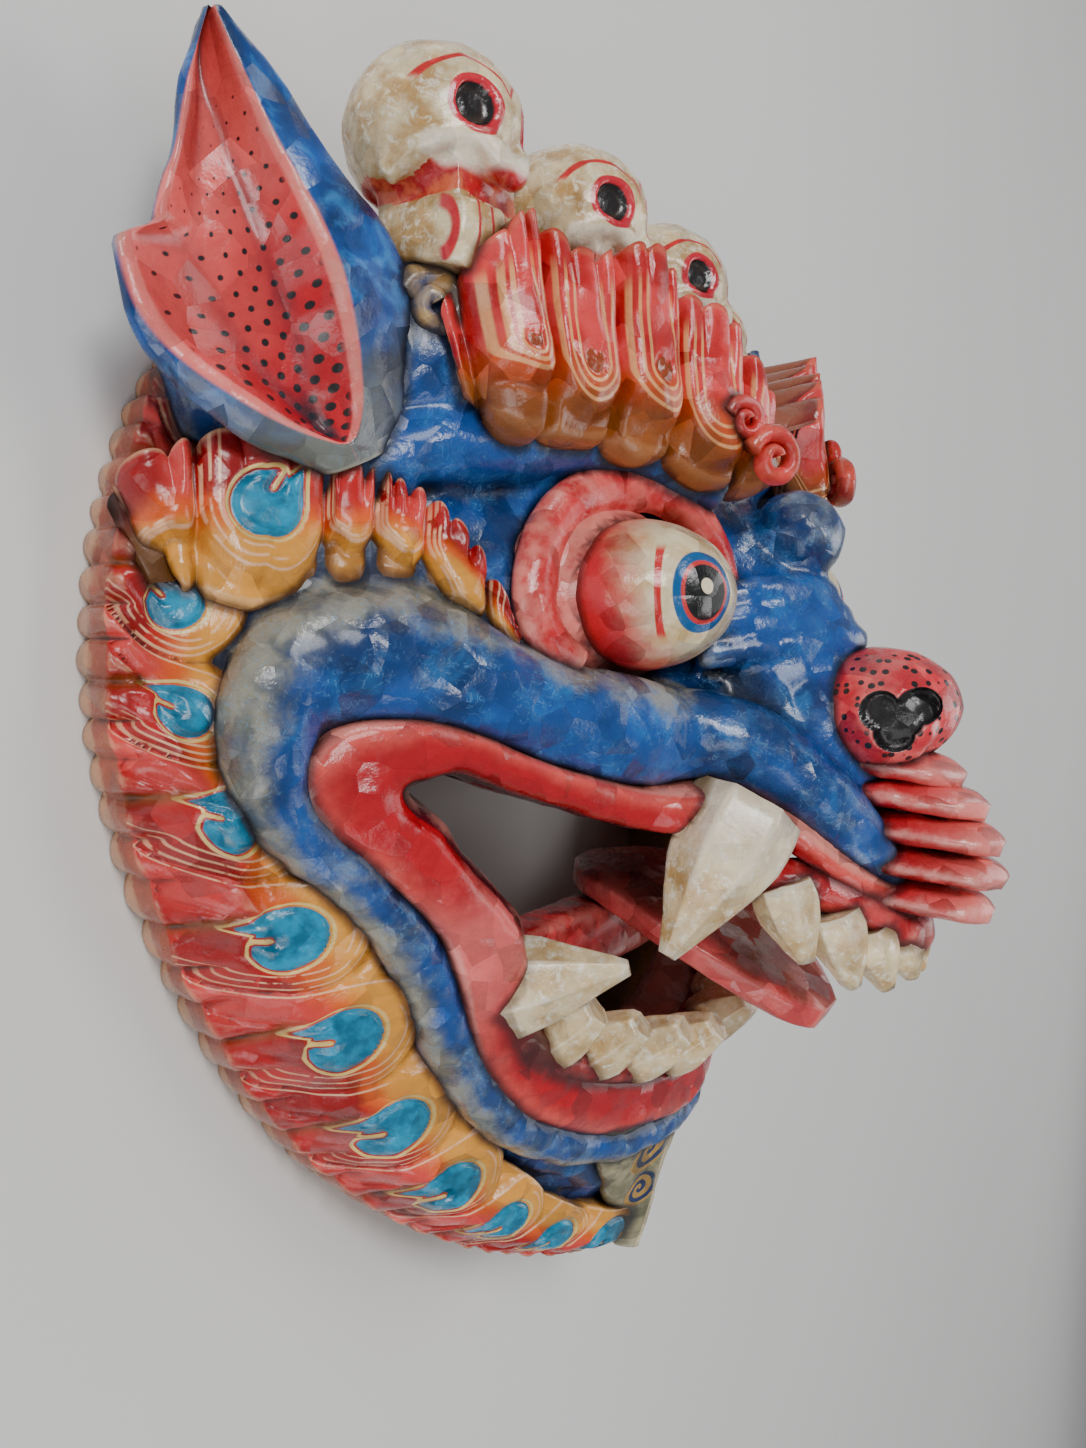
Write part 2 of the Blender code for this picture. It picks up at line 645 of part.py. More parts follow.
def tongue_forms(gap=0.0):
    bm = bmesh.new()
    sweep(bm, grown(TONGUE, gap), sides=16, section=squared, facing=CROWNWARD)
    return bm


def tongue(wood):
    obj = make_object("tongue", tongue_forms(), wood)
    carve_as_one(obj, SMALL_VOXEL, TONGUE_TRIANGLES)
    return obj


def hollowed_head(wood):
    """The head and its border, hollowed from behind to an even wall, with the mouth cut through."""
    bm = bmesh.new()
    head_forms(bm)
    obj = make_object("mask_body", bm, wood)
    carve_as_one(obj, BODY_VOXEL)
    bm = bmesh.new()
    dome(bm, size=HOLLOW_SIZE, sink=WALL, bottom=-6.0, around=48, along=20)
    hollow = cutter("hollow", bm)
    bm = bmesh.new()
    ellipsoid(bm, *MUZZLE_CAVITY)
    cavity = cutter("muzzle_cavity", bm)
    bm = bmesh.new()
    mouth_cutter(bm)
    mouth = cutter("mouth_opening", bm)
    cut(obj, hollow, cavity, mouth)
    return obj


def body(wood):
    obj = hollowed_head(wood)
    bm = bmesh.new()
    bm.from_mesh(obj.data)
    mouth_forms(bm)
    bm.to_mesh(obj.data)
    bm.free()
    carve_as_one(obj, BODY_VOXEL, BODY_TRIANGLES)
    tools = [cutter("ear_place", ear_forms(side, JOINT_GAP)) for side in SIDES]
    tools += [cutter("skull_place", skull_forms(seat, JOINT_GAP)) for seat in SKULL_SEATS]
    tools.append(cutter("tongue_place", tongue_forms(JOINT_GAP)))
    for tool in tools:
        carve_as_one(tool, SMALL_VOXEL, TOOL_TRIANGLES)
    bm = bmesh.new()
    block(bm, (0, 150, -20), (250, 250, 20))
    tools.append(cutter("back_plane", bm))
    cut(obj, *tools)
    keep_largest(obj)
    return obj


def main():
    for obj in list(bpy.data.objects):
        bpy.data.objects.remove(obj)
    painted = material("painted_wood", (0.05, 0.16, 0.38), 0.35)
    bone = material("bone_paint", (0.78, 0.66, 0.45), 0.4)
    pink = material("tongue_paint", (0.78, 0.22, 0.24), 0.35)
    pieces = [body(painted), ear("ear_left", -1, painted), ear("ear_right", 1, painted), tongue(pink)]
    for number, seat in enumerate(SKULL_SEATS, start=1):
        pieces.append(skull("skull_%d" % number, seat, bone))
    for obj in pieces:
        to_place(obj)


main()
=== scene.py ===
import math

import bmesh
import bpy
import numpy as np
from mathutils import Matrix, Vector, noise
from mathutils.bvhtree import BVHTree
from mathutils.kdtree import KDTree


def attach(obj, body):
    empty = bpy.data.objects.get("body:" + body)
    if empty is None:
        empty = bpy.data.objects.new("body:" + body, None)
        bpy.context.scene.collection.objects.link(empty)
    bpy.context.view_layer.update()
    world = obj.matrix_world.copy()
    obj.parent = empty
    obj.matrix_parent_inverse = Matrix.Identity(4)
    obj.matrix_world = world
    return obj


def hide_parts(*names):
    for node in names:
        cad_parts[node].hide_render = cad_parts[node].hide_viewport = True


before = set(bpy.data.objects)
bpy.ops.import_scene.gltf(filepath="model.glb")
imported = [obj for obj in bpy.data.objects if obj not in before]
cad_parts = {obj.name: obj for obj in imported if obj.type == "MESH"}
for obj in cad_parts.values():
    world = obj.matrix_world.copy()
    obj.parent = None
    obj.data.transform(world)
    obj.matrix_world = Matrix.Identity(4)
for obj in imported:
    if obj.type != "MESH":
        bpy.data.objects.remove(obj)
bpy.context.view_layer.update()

bl_info = {
    "name": "Carved dragon mask",
    "version": (1, 0, 0),
    "blender": (4, 5, 0),
    "location": "3D View > Sidebar > Dragon mask",
    "description": "Builds a carved and painted wooden dragon mask, lying face up",
    "category": "Add Mesh",
}

# Lengths are in millimetres, with x across the mask, y from the chin to the crown and z out of the face.
# The near side has a negative x. Each piece is moved to its place on the floor, in metres, when it is done.
MM = 0.001
CHIN_TO_MIDDLE = 163.5
SIDES = (-1, 1)
FRONT = Vector((0.0, 0.0, 1.0))
CROWNWARD = Vector((0.0, 1.0, 0.0))

# The head's sections as y, height at the middle, half width and height at the side
HEAD_SECTIONS = (
    (0, 42, 12, 38), (20, 49, 52, 30), (45, 56, 88, 24), (64, 62, 104, 22), (92, 76, 122, 22), (117, 88, 132, 23),
    (140, 93, 138, 25), (180, 96, 141, 26), (205, 93, 137, 26), (221, 87, 132, 24), (240, 78, 122, 20),
    (255, 68, 110, 16), (270, 52, 95, 12), (285, 30, 70, 10), (297, 12, 36, 8), (310, 6, 5, 6),
)
HEAD_CROSS_POWER = 1.4
HOLLOW_SIZE = 0.9
WALL = 12.0
DOME_CENTRE_Y = 150.0
DOME = (143.0, 183.0, 175.0, 118.0, (1.85, 2.1))
BORDER = (162.0, 185.0, 183.0, 121.0, (1.65, 2.3))

# Rolls and ridges of the head as x, y, z, half width, half depth at each station of the near side
# The roll that runs from the snout round the corner of the mouth to the chin
FACE_ROLL = (
    (-48, 170, 76, 13, 13), (-61, 172, 73, 14, 12), (-79, 177, 63, 13, 12), (-93, 183, 55, 13, 12),
    (-106, 189, 46, 15, 12), (-118, 191, 38, 15, 12), (-128, 189, 32, 14, 12), (-134, 184, 29, 13, 11),
    (-137, 176, 28, 11, 11), (-138, 168, 28, 9, 10), (-135, 159, 29, 8, 9), (-129, 151, 32, 7, 9),
    (-122, 144, 36, 7, 8), (-115, 136, 38, 7, 8), (-109, 129, 40, 7, 8), (-103, 119, 41, 7, 8),
    (-97, 107, 41, 7, 8), (-89, 93, 41, 7, 8), (-78, 79, 42, 7, 8), (-65, 67, 44, 7, 8), (-40, 54, 49, 7, 8),
    (-15, 49, 55, 7, 8), (0, 49, 57, 7, 8),
)
SNOUT_ROLL = (
    (-54, 167, 70, 12, 12), (-44, 170, 82, 12, 12), (-35, 167, 94, 11, 12), (-26, 158, 104, 10, 11),
    (-17, 147, 114, 9, 10), (-10, 136, 121, 7, 8), (-5, 128, 125, 4, 5),
)
# The lips as one ring, from the top middle to the bottom middle: outer edge x, y, z and inner edge x, y, z
LIPS = (
    (0, 127, 130, 0, 113, 125), (-8, 129, 128, -6, 115, 125), (-22, 138, 117, -15, 126, 116),
    (-33, 150, 105, -25, 138, 105), (-45, 157, 92, -37, 144, 93), (-60, 158, 79, -55, 146, 80),
    (-84, 166, 65, -78, 154, 67), (-103, 175, 54, -95, 161, 58), (-115, 178, 46, -104, 165, 53),
    (-127, 176, 38, -111, 164, 48), (-134, 169, 33, -114, 162, 46), (-135, 161, 32, -114, 159, 46),
    (-132, 154, 33, -112, 156, 47), (-125, 149, 37, -106, 151, 50), (-117, 142, 42, -99, 142, 53),
    (-109, 134, 45, -91, 133, 56), (-103, 126, 47, -85, 125, 58), (-99, 117, 48, -81, 117, 57),
    (-94, 106, 47, -77, 107, 54), (-88, 93, 45, -71, 98, 54), (-77, 79, 45, -64, 91, 55),
    (-66, 70, 47, -57, 84, 56), (-40, 57, 53, -41, 76, 59), (-15, 53, 60, -20, 72, 63), (0, 52, 62, 0, 71, 65),
)
LIP_HEIGHT = 4.5
LIP_WALL = 24.0
SOCKET_RIM = (
    (-75, 188, 66, 5, 5), (-81, 194, 62, 6, 5), (-83, 203, 60, 7, 5), (-78, 215, 59, 7, 5), (-68, 225, 60, 7, 5),
    (-54, 231, 64, 7, 5), (-40, 233, 70, 7, 5), (-30, 226, 77, 6, 5), (-26, 215, 82, 5, 5), (-28, 202, 85, 4, 5),
    (-32, 193, 85, 3, 4),
)
BROW_RIDGE = (
    (-112, 232, 30, 9, 9), (-100, 238, 42, 9, 9), (-84, 240, 50, 10, 9), (-62, 243, 58, 10, 10), (-42, 242, 68, 10, 10),
    (-24, 234, 80, 10, 10),
)
EAR_ROOT = (
    (-98, 230, 34, 14, 11), (-112, 236, 26, 17, 12), (-124, 243, 20, 17, 12), (-136, 246, 15, 14, 10),
    (-145, 244, 11, 9, 7),
)
UPPER_GUM = ((-46, 142, 86, 6, 5), (-33, 133, 98, 6, 5), (-25, 131, 108, 6, 5), (-15, 124, 121, 6, 5), (0, 115, 131, 6, 5))
LOWER_GUM = (
    (-84, 105, 46, 6, 7), (-76, 95, 48, 6, 7), (-63, 86, 50, 6, 7), (-47, 79, 54, 6, 7), (-23, 73, 60, 6, 7),
    (0, 73, 63, 6, 7),
)
MUZZLE = (
    (0, 216, 66, 22, 22), (0, 205, 76, 24, 24), (0, 192, 84, 27, 26), (0, 176, 88, 30, 30), (0, 160, 90, 31, 34),
    (0, 148, 92, 26, 34), (0, 137, 97, 18, 28),
)
FLAME_BED = ((-106, 256, 34, 14, 12), (-86, 256, 44, 17, 15), (-60, 256, 54, 18, 16), (-36, 252, 62, 18, 18), (0, 244, 68, 16, 18))
CROWN_BAND = ((-124, 258, 24, 6, 6), (-97, 264, 42, 10, 9), (-48, 259, 50, 10, 20), (0, 254, 54, 10, 20))
BEARD = ((0, 58, 54, 40, 8), (0, 46, 50, 32, 8), (0, 32, 46, 22, 7), (0, 16, 43, 11, 6), (0, 3, 41, 4, 4))
BRIDGE_FOLDS = (
    ((-36, 203, 78, 3, 3), (-22, 206, 92, 5, 5), (0, 205, 102, 6, 6)),
    ((-38, 196, 80, 3, 3), (-24, 199, 93, 5, 5), (0, 199, 106, 6, 6)),
    ((-38, 189, 82, 3, 3), (-24, 192, 95, 5, 5), (0, 193, 110, 6, 6)),
)
CROWN_TONGUES = (
    ((-104, 284, 10, 11, 7), (-99, 304, 10, 10, 6), (-95, 320, 10, 6, 5), (-93, 329, 10, 2, 3)),
    ((-78, 292, 10, 11, 7), (-73, 308, 10, 9, 6), (-70, 320, 10, 6, 5), (-68, 328, 10, 2, 3)),
)
MUZZLE_CAVITY = ((0, 168, 62), (19, 28, 46))
FOREHEAD_BALL = ((0, 222, 96), (14, 13, 13))
EYE = ((-50, 205, 71), (25, 19, 24))
EYE_TILT = 26.0
PUPIL = Vector((-59.0, 205.3, 93.0))
EYE_ROOM = 14.0
NOSE = ((0, 176, 120), (20, 16, 21))
NOSTRIL = ((124.5, 176.0, 5.2), (133.0, 177.0, 5.0), (128.0, 170.5, 5.0), (130.0, 174.0, 5.0))
SCALES = ((160, 142), (152, 148), (143, 152), (134, 153), (125, 150))
MOUTH_CENTRE = (0.0, 100.0)
TONGUE_BED = ((-92, 110, 34, 9, 8), (-60, 109, 38, 9, 8), (0, 108, 42, 10, 8))
UPPER_FANG = ((-42, 146, 94), (-60, 117, 84), 17)
LOWER_FANG = ((-78, 108, 46), (-64, 114, 76), 15)
UPPER_TEETH = (
    ((-33, 128, 105), (-33, 112, 111), 9.5), ((-23, 120, 115), (-21, 104, 120), 9),
    ((-14, 115, 122), (-13, 102, 127), 8), ((-5, 112, 128), (-4, 103, 131), 7),
)
LOWER_TEETH = (
    ((-60, 90, 52), (-57, 99, 64), 9), ((-45, 83, 57), (-43, 92, 70), 9), ((-30, 78, 62), (-28, 87, 76), 9),
    ((-14, 75, 66), (-13, 84, 80), 9),
)
TONGUE = (
    (0, 124, 30, 8, 3), (0, 123, 38, 21, 4), (0, 121, 50, 28, 4.5), (0, 115, 66, 32, 5), (0, 107, 80, 29, 5), (0, 98, 93, 22, 5),
    (0, 91, 102, 14, 4.5), (0, 88, 107, 7, 3.5),
)
EAR = (
    (-118, 232, 36, 8, 5), (-122, 240, 36, 18, 6), (-128, 250, 36, 25, 6), (-134, 262, 35, 28, 6),
    (-139, 274, 34, 25, 6), (-142, 287, 32, 17, 5), (-146, 300, 31, 10, 4), (-149, 311, 30, 2, 2),
)
EAR_FACING = Vector((-0.37, 0.1, 0.92)).normalized()
EAR_BOWL = ((-135, 264, 47), (18, 40, 11))
SKULL_SEATS = ((-97, 275, 44), (-48, 270, 51), (0, 265, 54), (48, 270, 37), (97, 275, 25))

# The discs of the flame border, from the chin up, as x and y of the near side
DISCS = (
    (-12, 17), (-35, 25), (-54, 38), (-77, 54), (-100, 76), (-118, 104), (-135, 130), (-152, 157), (-157, 180),
    (-157, 203),
)
FLAME_PITCH = 23.0
DISC_DEPTH = 0.47


def blend(a, b, t):
    return a + (b - a) * t


def ease(t):
    """A smooth step from 0 to 1, for a number or an array."""
    t = np.clip(t, 0.0, 1.0)
    return t * t * (3 - 2 * t)


# Paint


class Signal:
    """A shader socket that can stand in a sum."""

    def __init__(self, finish, socket):
        self.finish = finish
        self.socket = socket

    def maths(self, operation, *values):
        return self.finish.node("ShaderNodeMath", {"operation": operation}, dict(enumerate(values)))

    def __add__(self, other):
        return self.maths("ADD", self, other)

    def __sub__(self, other):
        return self.maths("SUBTRACT", self, other)

    def __rsub__(self, other):
        return self.maths("SUBTRACT", other, self)

    def __mul__(self, other):
        return self.maths("MULTIPLY", self, other)

    def __truediv__(self, other):
        return self.maths("DIVIDE", self, other)

    def __pow__(self, other):
        return self.maths("POWER", self, other)

    def __lt__(self, other):
        return self.maths("LESS_THAN", self, other)

    def __gt__(self, other):
        return self.maths("GREATER_THAN", self, other)

    def __abs__(self):
        return self.maths("ABSOLUTE", self)

    def output(self, name):
        """Another output of the same node."""
        return Signal(self.finish, self.socket.node.outputs[name])

    __radd__ = __add__
    __rmul__ = __mul__

    def least(self, other):
        return self.maths("MINIMUM", self, other)

    def most(self, other):
        return self.maths("MAXIMUM", self, other)

    def sine(self):
        return self.maths("SINE", self)

    def part(self):
        return self.maths("FRACT", self)

    def whole(self):
        return self.maths("FLOOR", self)


class Finish:
    """A painted finish that is being mixed."""

    def __init__(self, name):
        self.material = bpy.data.materials.new(name)
        self.material.use_nodes = True
        self.tree = self.material.node_tree
        self.shader = self.tree.nodes["Principled BSDF"]

    def node(self, kind, settings=None, values=None, output=0):
        """One node: its settings first, then the values or links of its sockets."""
        made = self.tree.nodes.new(kind)
        for key, value in (settings or {}).items():
            if key == "stops":
                ramp = made.color_ramp
                while len(ramp.elements) < len(value):
                    ramp.elements.new(1.0)
                for element, (place, colour) in zip(ramp.elements, value):
                    element.position = place
                    element.color = colour
            else:
                setattr(made, key, value)
        for key, value in (values or {}).items():
            self.put(made.inputs[key], value)
        return Signal(self, made.outputs[output])

    def put(self, socket, value):
        if isinstance(value, Signal):
            self.tree.links.new(value.socket, socket)
        elif socket.type == "RGBA":
            socket.default_value = (*value[:3], 1.0)
        else:
            socket.default_value = value

    def place(self):
        return self.node("ShaderNodeTexCoord", output="Object")

    def field(self, name):
        return self.node("ShaderNodeAttribute", {"attribute_name": name}, output="Fac")

    def spot(self):
        """The three parts of the place on the piece, in millimetres, that the piece keeps as its own."""
        vector = self.node("ShaderNodeAttribute", {"attribute_name": "spot"}, output="Vector")
        return [self.node("ShaderNodeSeparateXYZ", None, {0: vector}, output=i) for i in range(3)]

    def noise(self, size, detail=3.0, roughness=0.55, distortion=0.0, where=None, output=0):
        values = {
            "Vector": where or self.place(), "Scale": 1.0 / (size * MM), "Detail": detail, "Roughness": roughness,
            "Distortion": distortion,
        }
        return self.node("ShaderNodeTexNoise", None, values, output=output)

    def cells(self, size, feature="F1", where=None, output=0, randomness=1.0):
        values = {"Vector": where or self.place(), "Scale": 1.0 / (size * MM), "Randomness": randomness}
        return self.node("ShaderNodeTexVoronoi", {"feature": feature}, values, output=output)

    def step(self, value, low, high):
        values = {"Value": value, "From Min": low, "From Max": high}
        return self.node("ShaderNodeMapRange", {"interpolation_type": "SMOOTHSTEP"}, values)

    def mix(self, factor, a, b, kind="MIX"):
        return self.node("ShaderNodeMix", {"data_type": "RGBA", "blend_type": kind}, {0: factor, 6: a, 7: b}, output=2)

    def bright(self, colour, factor):
        return self.node("ShaderNodeVectorMath", {"operation": "SCALE"}, {0: colour, "Scale": factor})

    def vector(self, operation, a, b, output=0):
        return self.node("ShaderNodeVectorMath", {"operation": operation}, {0: a, 1: b}, output=output)

    def line(self, value, at, half_width, soft=0.12):
        """1 on a thin painted line where a field has one value, with the same unit for all numbers."""
        return 1.0 - self.step(abs(value - at), half_width - soft, half_width + soft)


# The wash is the colour of the painted shade in hollows and creases
def painted(name, colour_of, cell=6.0, wash=(0.03, 0.025, 0.02), wear=(0.55, 0.48, 0.33), worn=0.5, gloss=0.27, coat=0.35,
            tone=0.30, tilt=1.0, cracks=0.0):
    """Paint over gouge facets: its colour, uneven in tone, with painted shade in the hollows and where other pieces
    come near, and rubbed on the edges.
    """
    finish = Finish(name)
    facet = finish.cells(cell, output=1)
    random = finish.node("ShaderNodeSeparateXYZ", None, {0: facet})
    fine = finish.noise(cell * 0.4, 3.0, 0.6)
    patchy = finish.noise(4.0, 4.0, 0.65)
    colour = finish.bright(colour_of(finish), (random - 0.5) * tone + (fine - 0.5) * tone * 1.4 + 1.0)
    ridge = finish.field("ridge")
    rubbed = finish.step(ridge + (patchy - 0.5) * 1.6, 0.6, 1.6) * worn
    colour = finish.mix(rubbed, colour, wear)
    # Painted shade: darker in the hollows of the piece and where another piece comes near, mixed towards the wash
    # colour
    painted_shade_and_cracks = finish.step(ridge + (patchy - 0.5) * 0.8, -0.25, -1.7)
    painted_shade_and_cracks = painted_shade_and_cracks.most(1.0 - finish.step(finish.field("near") + (patchy - 0.5) * 1.2, 0.1, 2.8)) * 0.88
    if cracks:
        edge = finish.cells(cell, "DISTANCE_TO_EDGE")
        painted_shade_and_cracks = painted_shade_and_cracks.most((1.0 - finish.step(edge, 0.0, 0.03)) * finish.step(patchy, 0.45, 0.6) * cracks)
    colour = finish.mix(painted_shade_and_cracks, colour, finish.mix(0.35, wash, colour, "MULTIPLY"))
    offset = finish.vector("SUBTRACT", finish.place(), facet.output("Position"))
    slope = finish.vector("DOT_PRODUCT", offset, finish.vector("SUBTRACT", facet, (0.5, 0.5, 0.5)), output="Value")
    height = slope * (tilt / MM * 0.75) + (fine - 0.5) * 0.3
    bump = finish.node("ShaderNodeBump", None, {"Strength": 0.9, "Distance": MM, "Height": height})
    finish.put(finish.shader.inputs["Base Color"], colour)
    finish.put(finish.shader.inputs["Roughness"], (patchy - 0.5) * 0.35 + painted_shade_and_cracks * 0.25 + rubbed * 0.12 + gloss)
    finish.put(finish.shader.inputs["Normal"], bump)
    finish.put(finish.shader.inputs["Coat Weight"], coat)
    finish.put(finish.shader.inputs["Coat Roughness"], 0.14)
    return finish.material


# Mesh helpers


def smooth_path(stations, steps):
    """Stations, which are tuples of one length, joined by a smooth curve with this many steps between two."""
    last = len(stations) - 1
    path = []
    for i in range(last):
        near = (stations[max(i - 1, 0)], stations[i], stations[i + 1], stations[min(i + 2, last)])
        for step in range(steps):
            t = step / steps
            path.append(tuple(
                b + 0.5 * t * (c - a + t * (2 * a - 5 * b + 4 * c - d + t * (3 * b - a - 3 * c + d)))
                for a, b, c, d in zip(*near)
            ))
    path.append(tuple(float(value) for value in stations[last]))
    return path


def on_side(stations, side):
    """The near side's stations, mirrored when side is 1."""
    return [(-side * station[0],) + tuple(station[1:]) for station in stations]


def across(stations):
    """A near half that ends on the middle plane, with its mirror joined on."""
    return list(stations) + [(-station[0],) + tuple(station[1:]) for station in reversed(stations[:-1])]


def face_outwards(bm, verts):
    """Turns the faces of one closed form outwards, judged by the volume that they hold."""
    faces = list({face for vert in verts if vert.is_valid for face in vert.link_faces})
    bmesh.ops.recalc_face_normals(bm, faces=faces)
    bm.normal_update()
    if sum(face.normal.dot(face.calc_center_median()) * face.calc_area() for face in faces) < 0.0:
        bmesh.ops.reverse_faces(bm, faces=faces)


def shaped_ball(bm, around, along, position):
    """A closed form: position(t, angle) gives its points from pole to pole, with t from 0 to 1."""
    made = bmesh.ops.create_uvsphere(bm, u_segments=around, v_segments=along, radius=1.0)
    for vert in made["verts"]:
        t = math.acos(max(-1.0, min(1.0, vert.co.z))) / math.pi
        vert.co = position(t, math.atan2(vert.co.y, vert.co.x))
    face_outwards(bm, made["verts"])
    return made["verts"]


def section_frames(path, facing=FRONT):
    """For each point of a path: its centre, its direction to the side and its direction out of the face."""
    frames = []
    for i, station in enumerate(path):
        ahead = Vector(path[min(i + 1, len(path) - 1)][:3]) - Vector(path[max(i - 1, 0)][:3])
        ahead.normalize()
        out = facing - ahead * facing.dot(ahead)
        out.normalize()
        frames.append((Vector(station[:3]), ahead.cross(out), out))
    return frames


def sweep(bm, stations, sides=24, steps=8, section=None, facing=FRONT):
    """A closed roll strung on a smooth path. It keeps how far along and how far round each point is."""
    path = smooth_path(stations, steps)
    frames = section_frames(path, facing)
    rings = len(path)
    section = section or (lambda angle: (math.cos(angle), math.sin(angle)))
    along = bm.verts.layers.float.get("along") or bm.verts.layers.float.new("along")
    aside = bm.verts.layers.float.get("aside") or bm.verts.layers.float.new("aside")
    made = bmesh.ops.create_uvsphere(bm, u_segments=sides, v_segments=rings + 1, radius=1.0)
    for vert in made["verts"]:
        t = math.acos(max(-1.0, min(1.0, vert.co.z))) / math.pi
        angle = math.atan2(vert.co.y, vert.co.x)
        ring = round(t * (rings + 1)) - 1
        vert[along] = t
        if ring < 0 or ring >= rings:
            vert.co = frames[max(0, min(rings - 1, ring))][0]
            continue
        centre, side, out = frames[ring]
        across_part, out_part = section(angle)
        vert[aside] = across_part
        vert.co = centre + side * (path[ring][3] * across_part) + out * (path[ring][4] * out_part)
    face_outwards(bm, made["verts"])
    return made["verts"]


def squared(angle):
    """A section between an oval and a square, for planks."""
    return (
        math.copysign(abs(math.cos(angle)) ** 0.4, math.cos(angle)),
        math.copysign(abs(math.sin(angle)) ** 0.4, math.sin(angle)),
    )


def ellipsoid(bm, centre, radii, turn=0.0, around=48):
    """An ellipsoid, turned in degrees about the y axis."""
    matrix = Matrix.Translation(centre) @ Matrix.Rotation(math.radians(turn), 4, "Y") @ Matrix.Diagonal(radii).to_4x4()
    bmesh.ops.create_uvsphere(bm, u_segments=around, v_segments=around // 2, radius=1.0, matrix=matrix)


def block(bm, centre, half_size):
    matrix = Matrix.Translation(centre) @ Matrix.Diagonal(half_size).to_4x4()
    bmesh.ops.create_cube(bm, size=2.0, matrix=matrix)


def outline(shape, angle):
    """A point of an oval outline that starts at the chin, where the angle is 0."""
    half_width, widest_y, drop, rise, powers = shape
    sine = np.sin(angle)
    cosine = np.cos(angle)
    power = np.where(cosine > 0, powers[0], powers[1])
    reach = np.where(cosine > 0, drop, rise)
    x = half_width * np.sign(sine) * np.abs(sine) ** (2 / power)
    y = widest_y - reach * np.sign(cosine) * np.abs(cosine) ** (2 / power)
    return x, y


def head_height(x, y):
    """The head's height above its back, before the features are carved on it."""
    rows = np.array(HEAD_SECTIONS, float).T
    middle, half_width, edge = (np.interp(y, rows[0], row) for row in rows[1:])
    return blend(edge, middle, 1.0 - np.minimum(1.0, np.abs(x) / half_width) ** HEAD_CROSS_POWER)


def border_tree():
    """Finds the nearest place of the border's outer edge."""
    xs, ys = outline(BORDER, np.linspace(0.0, math.tau, 1441))
    tree = KDTree(len(xs))
    for i, (x, y) in enumerate(zip(xs, ys)):
        tree.insert((x, y, 0.0), i)
    tree.balance()
    return tree


def dome(bm, size=1.0, sink=0.0, bottom=0.0, around=144, along=96, room=0.0):
    """The rounded head: a lens on a flat back. Made smaller and sunk, it is the hollow behind the head."""
    tree = border_tree()

    def position(t, angle):
        reach = (1.0 - abs(1.0 - 2.0 * t)) * size
        x, y = outline(DOME, angle)
        x, y = x * reach, DOME_CENTRE_Y + (y - DOME_CENTRE_Y) * reach
        depth = tree.find((x, y, 0.0))[2]
        lowered = room * ease((band_width(y) + 1.0 - depth) / 3.0) * ease((232.0 - y) / 20.0)
        reach_to_eye = math.hypot((abs(x) - 50.0) / 30.0, (y - 206.0) / 24.0)
        lowered += EYE_ROOM * ease((1.2 - reach_to_eye) / 0.4) * (room > 0)
        height = max(bottom + 1.0, head_height(x / size, y) - sink - lowered) if t <= 0.5 else bottom
        return Vector((x, y, height))

    return shaped_ball(bm, around, along, position)


def mouth_cutter(bm):
    """Cuts the mouth through the head's wall, as far as the middle of the lips, which hide the cut."""
    half = [(blend(s[0], s[3], 0.6), blend(s[1], s[4], 0.6)) for s in LIPS]
    ring = [Vector(point) for point in half + [(-x, y) for x, y in reversed(half[1:-1])]]
    middle = Vector(MOUTH_CENTRE)

    def edge_point(angle):
        ray = Vector((math.cos(angle), math.sin(angle)))
        for a, b in zip(ring, ring[1:] + ring[:1]):
            cross = ray.x * (b - a).y - ray.y * (b - a).x
            if abs(cross) < 1e-9:
                continue
            reach = ((a - middle).x * (b - a).y - (a - middle).y * (b - a).x) / cross
            part = ((a - middle).x * ray.y - (a - middle).y * ray.x) / cross
            if reach > 0 and 0 <= part <= 1:
                return middle + ray * reach
        raise ValueError("The mouth's outline is open")

    def position(t, angle):
        reach = 1.0 - abs(1.0 - 2.0 * t)
        spot = middle.lerp(edge_point(angle), reach)
        height = float(head_height(spot.x, spot.y))
        return Vector((spot.x, spot.y, height + 14.0 if t <= 0.5 else max(-6.0, height - 60.0)))

    shaped_ball(bm, 128, 24, position)


def to_object(name, bm):
    mesh = bpy.data.meshes.new(name)
    bm.to_mesh(mesh)
    bm.free()
    obj = bpy.data.objects.new(name, mesh)
    bpy.context.scene.collection.objects.link(obj)
    return obj


def applied(obj):
    """Replaces an object's mesh by the one that its modifiers give."""
    graph = bpy.context.evaluated_depsgraph_get()
    mesh = bpy.data.meshes.new_from_object(obj.evaluated_get(graph))
    obj.modifiers.clear()
    obj.data = mesh


def one_skin(obj, voxel, smooth=2):
    """Merges closed forms into one skin, as if carved from one block."""
    remesh = obj.modifiers.new("One block", "REMESH")
    remesh.mode = "VOXEL"
    remesh.voxel_size = voxel
    if smooth:
        eased = obj.modifiers.new("Eased", "SMOOTH")
        eased.iterations = smooth
    applied(obj)


def cut_away(obj, *tools):
    """Cuts closed tools out of a closed skin, and removes them."""
    for tool in tools:
        boolean = obj.modifiers.new(tool.name, "BOOLEAN")
        boolean.object = tool
        boolean.operation = "DIFFERENCE"
        boolean.solver = "MANIFOLD"
    applied(obj)
    for tool in tools:
        bpy.data.objects.remove(tool)


def points_of(mesh):
    points = np.empty(len(mesh.vertices) * 3)
    mesh.vertices.foreach_get("co", points)
    return points.reshape(-1, 3)


def normals_of(mesh):
    normals = np.empty(len(mesh.vertices) * 3, np.float32)
    mesh.vertex_normals.foreach_get("vector", normals)
    return normals.reshape(-1, 3).astype(float)


def put_points(mesh, points):
    mesh.vertices.foreach_set("co", np.ascontiguousarray(points, np.float32).ravel())
    mesh.update()


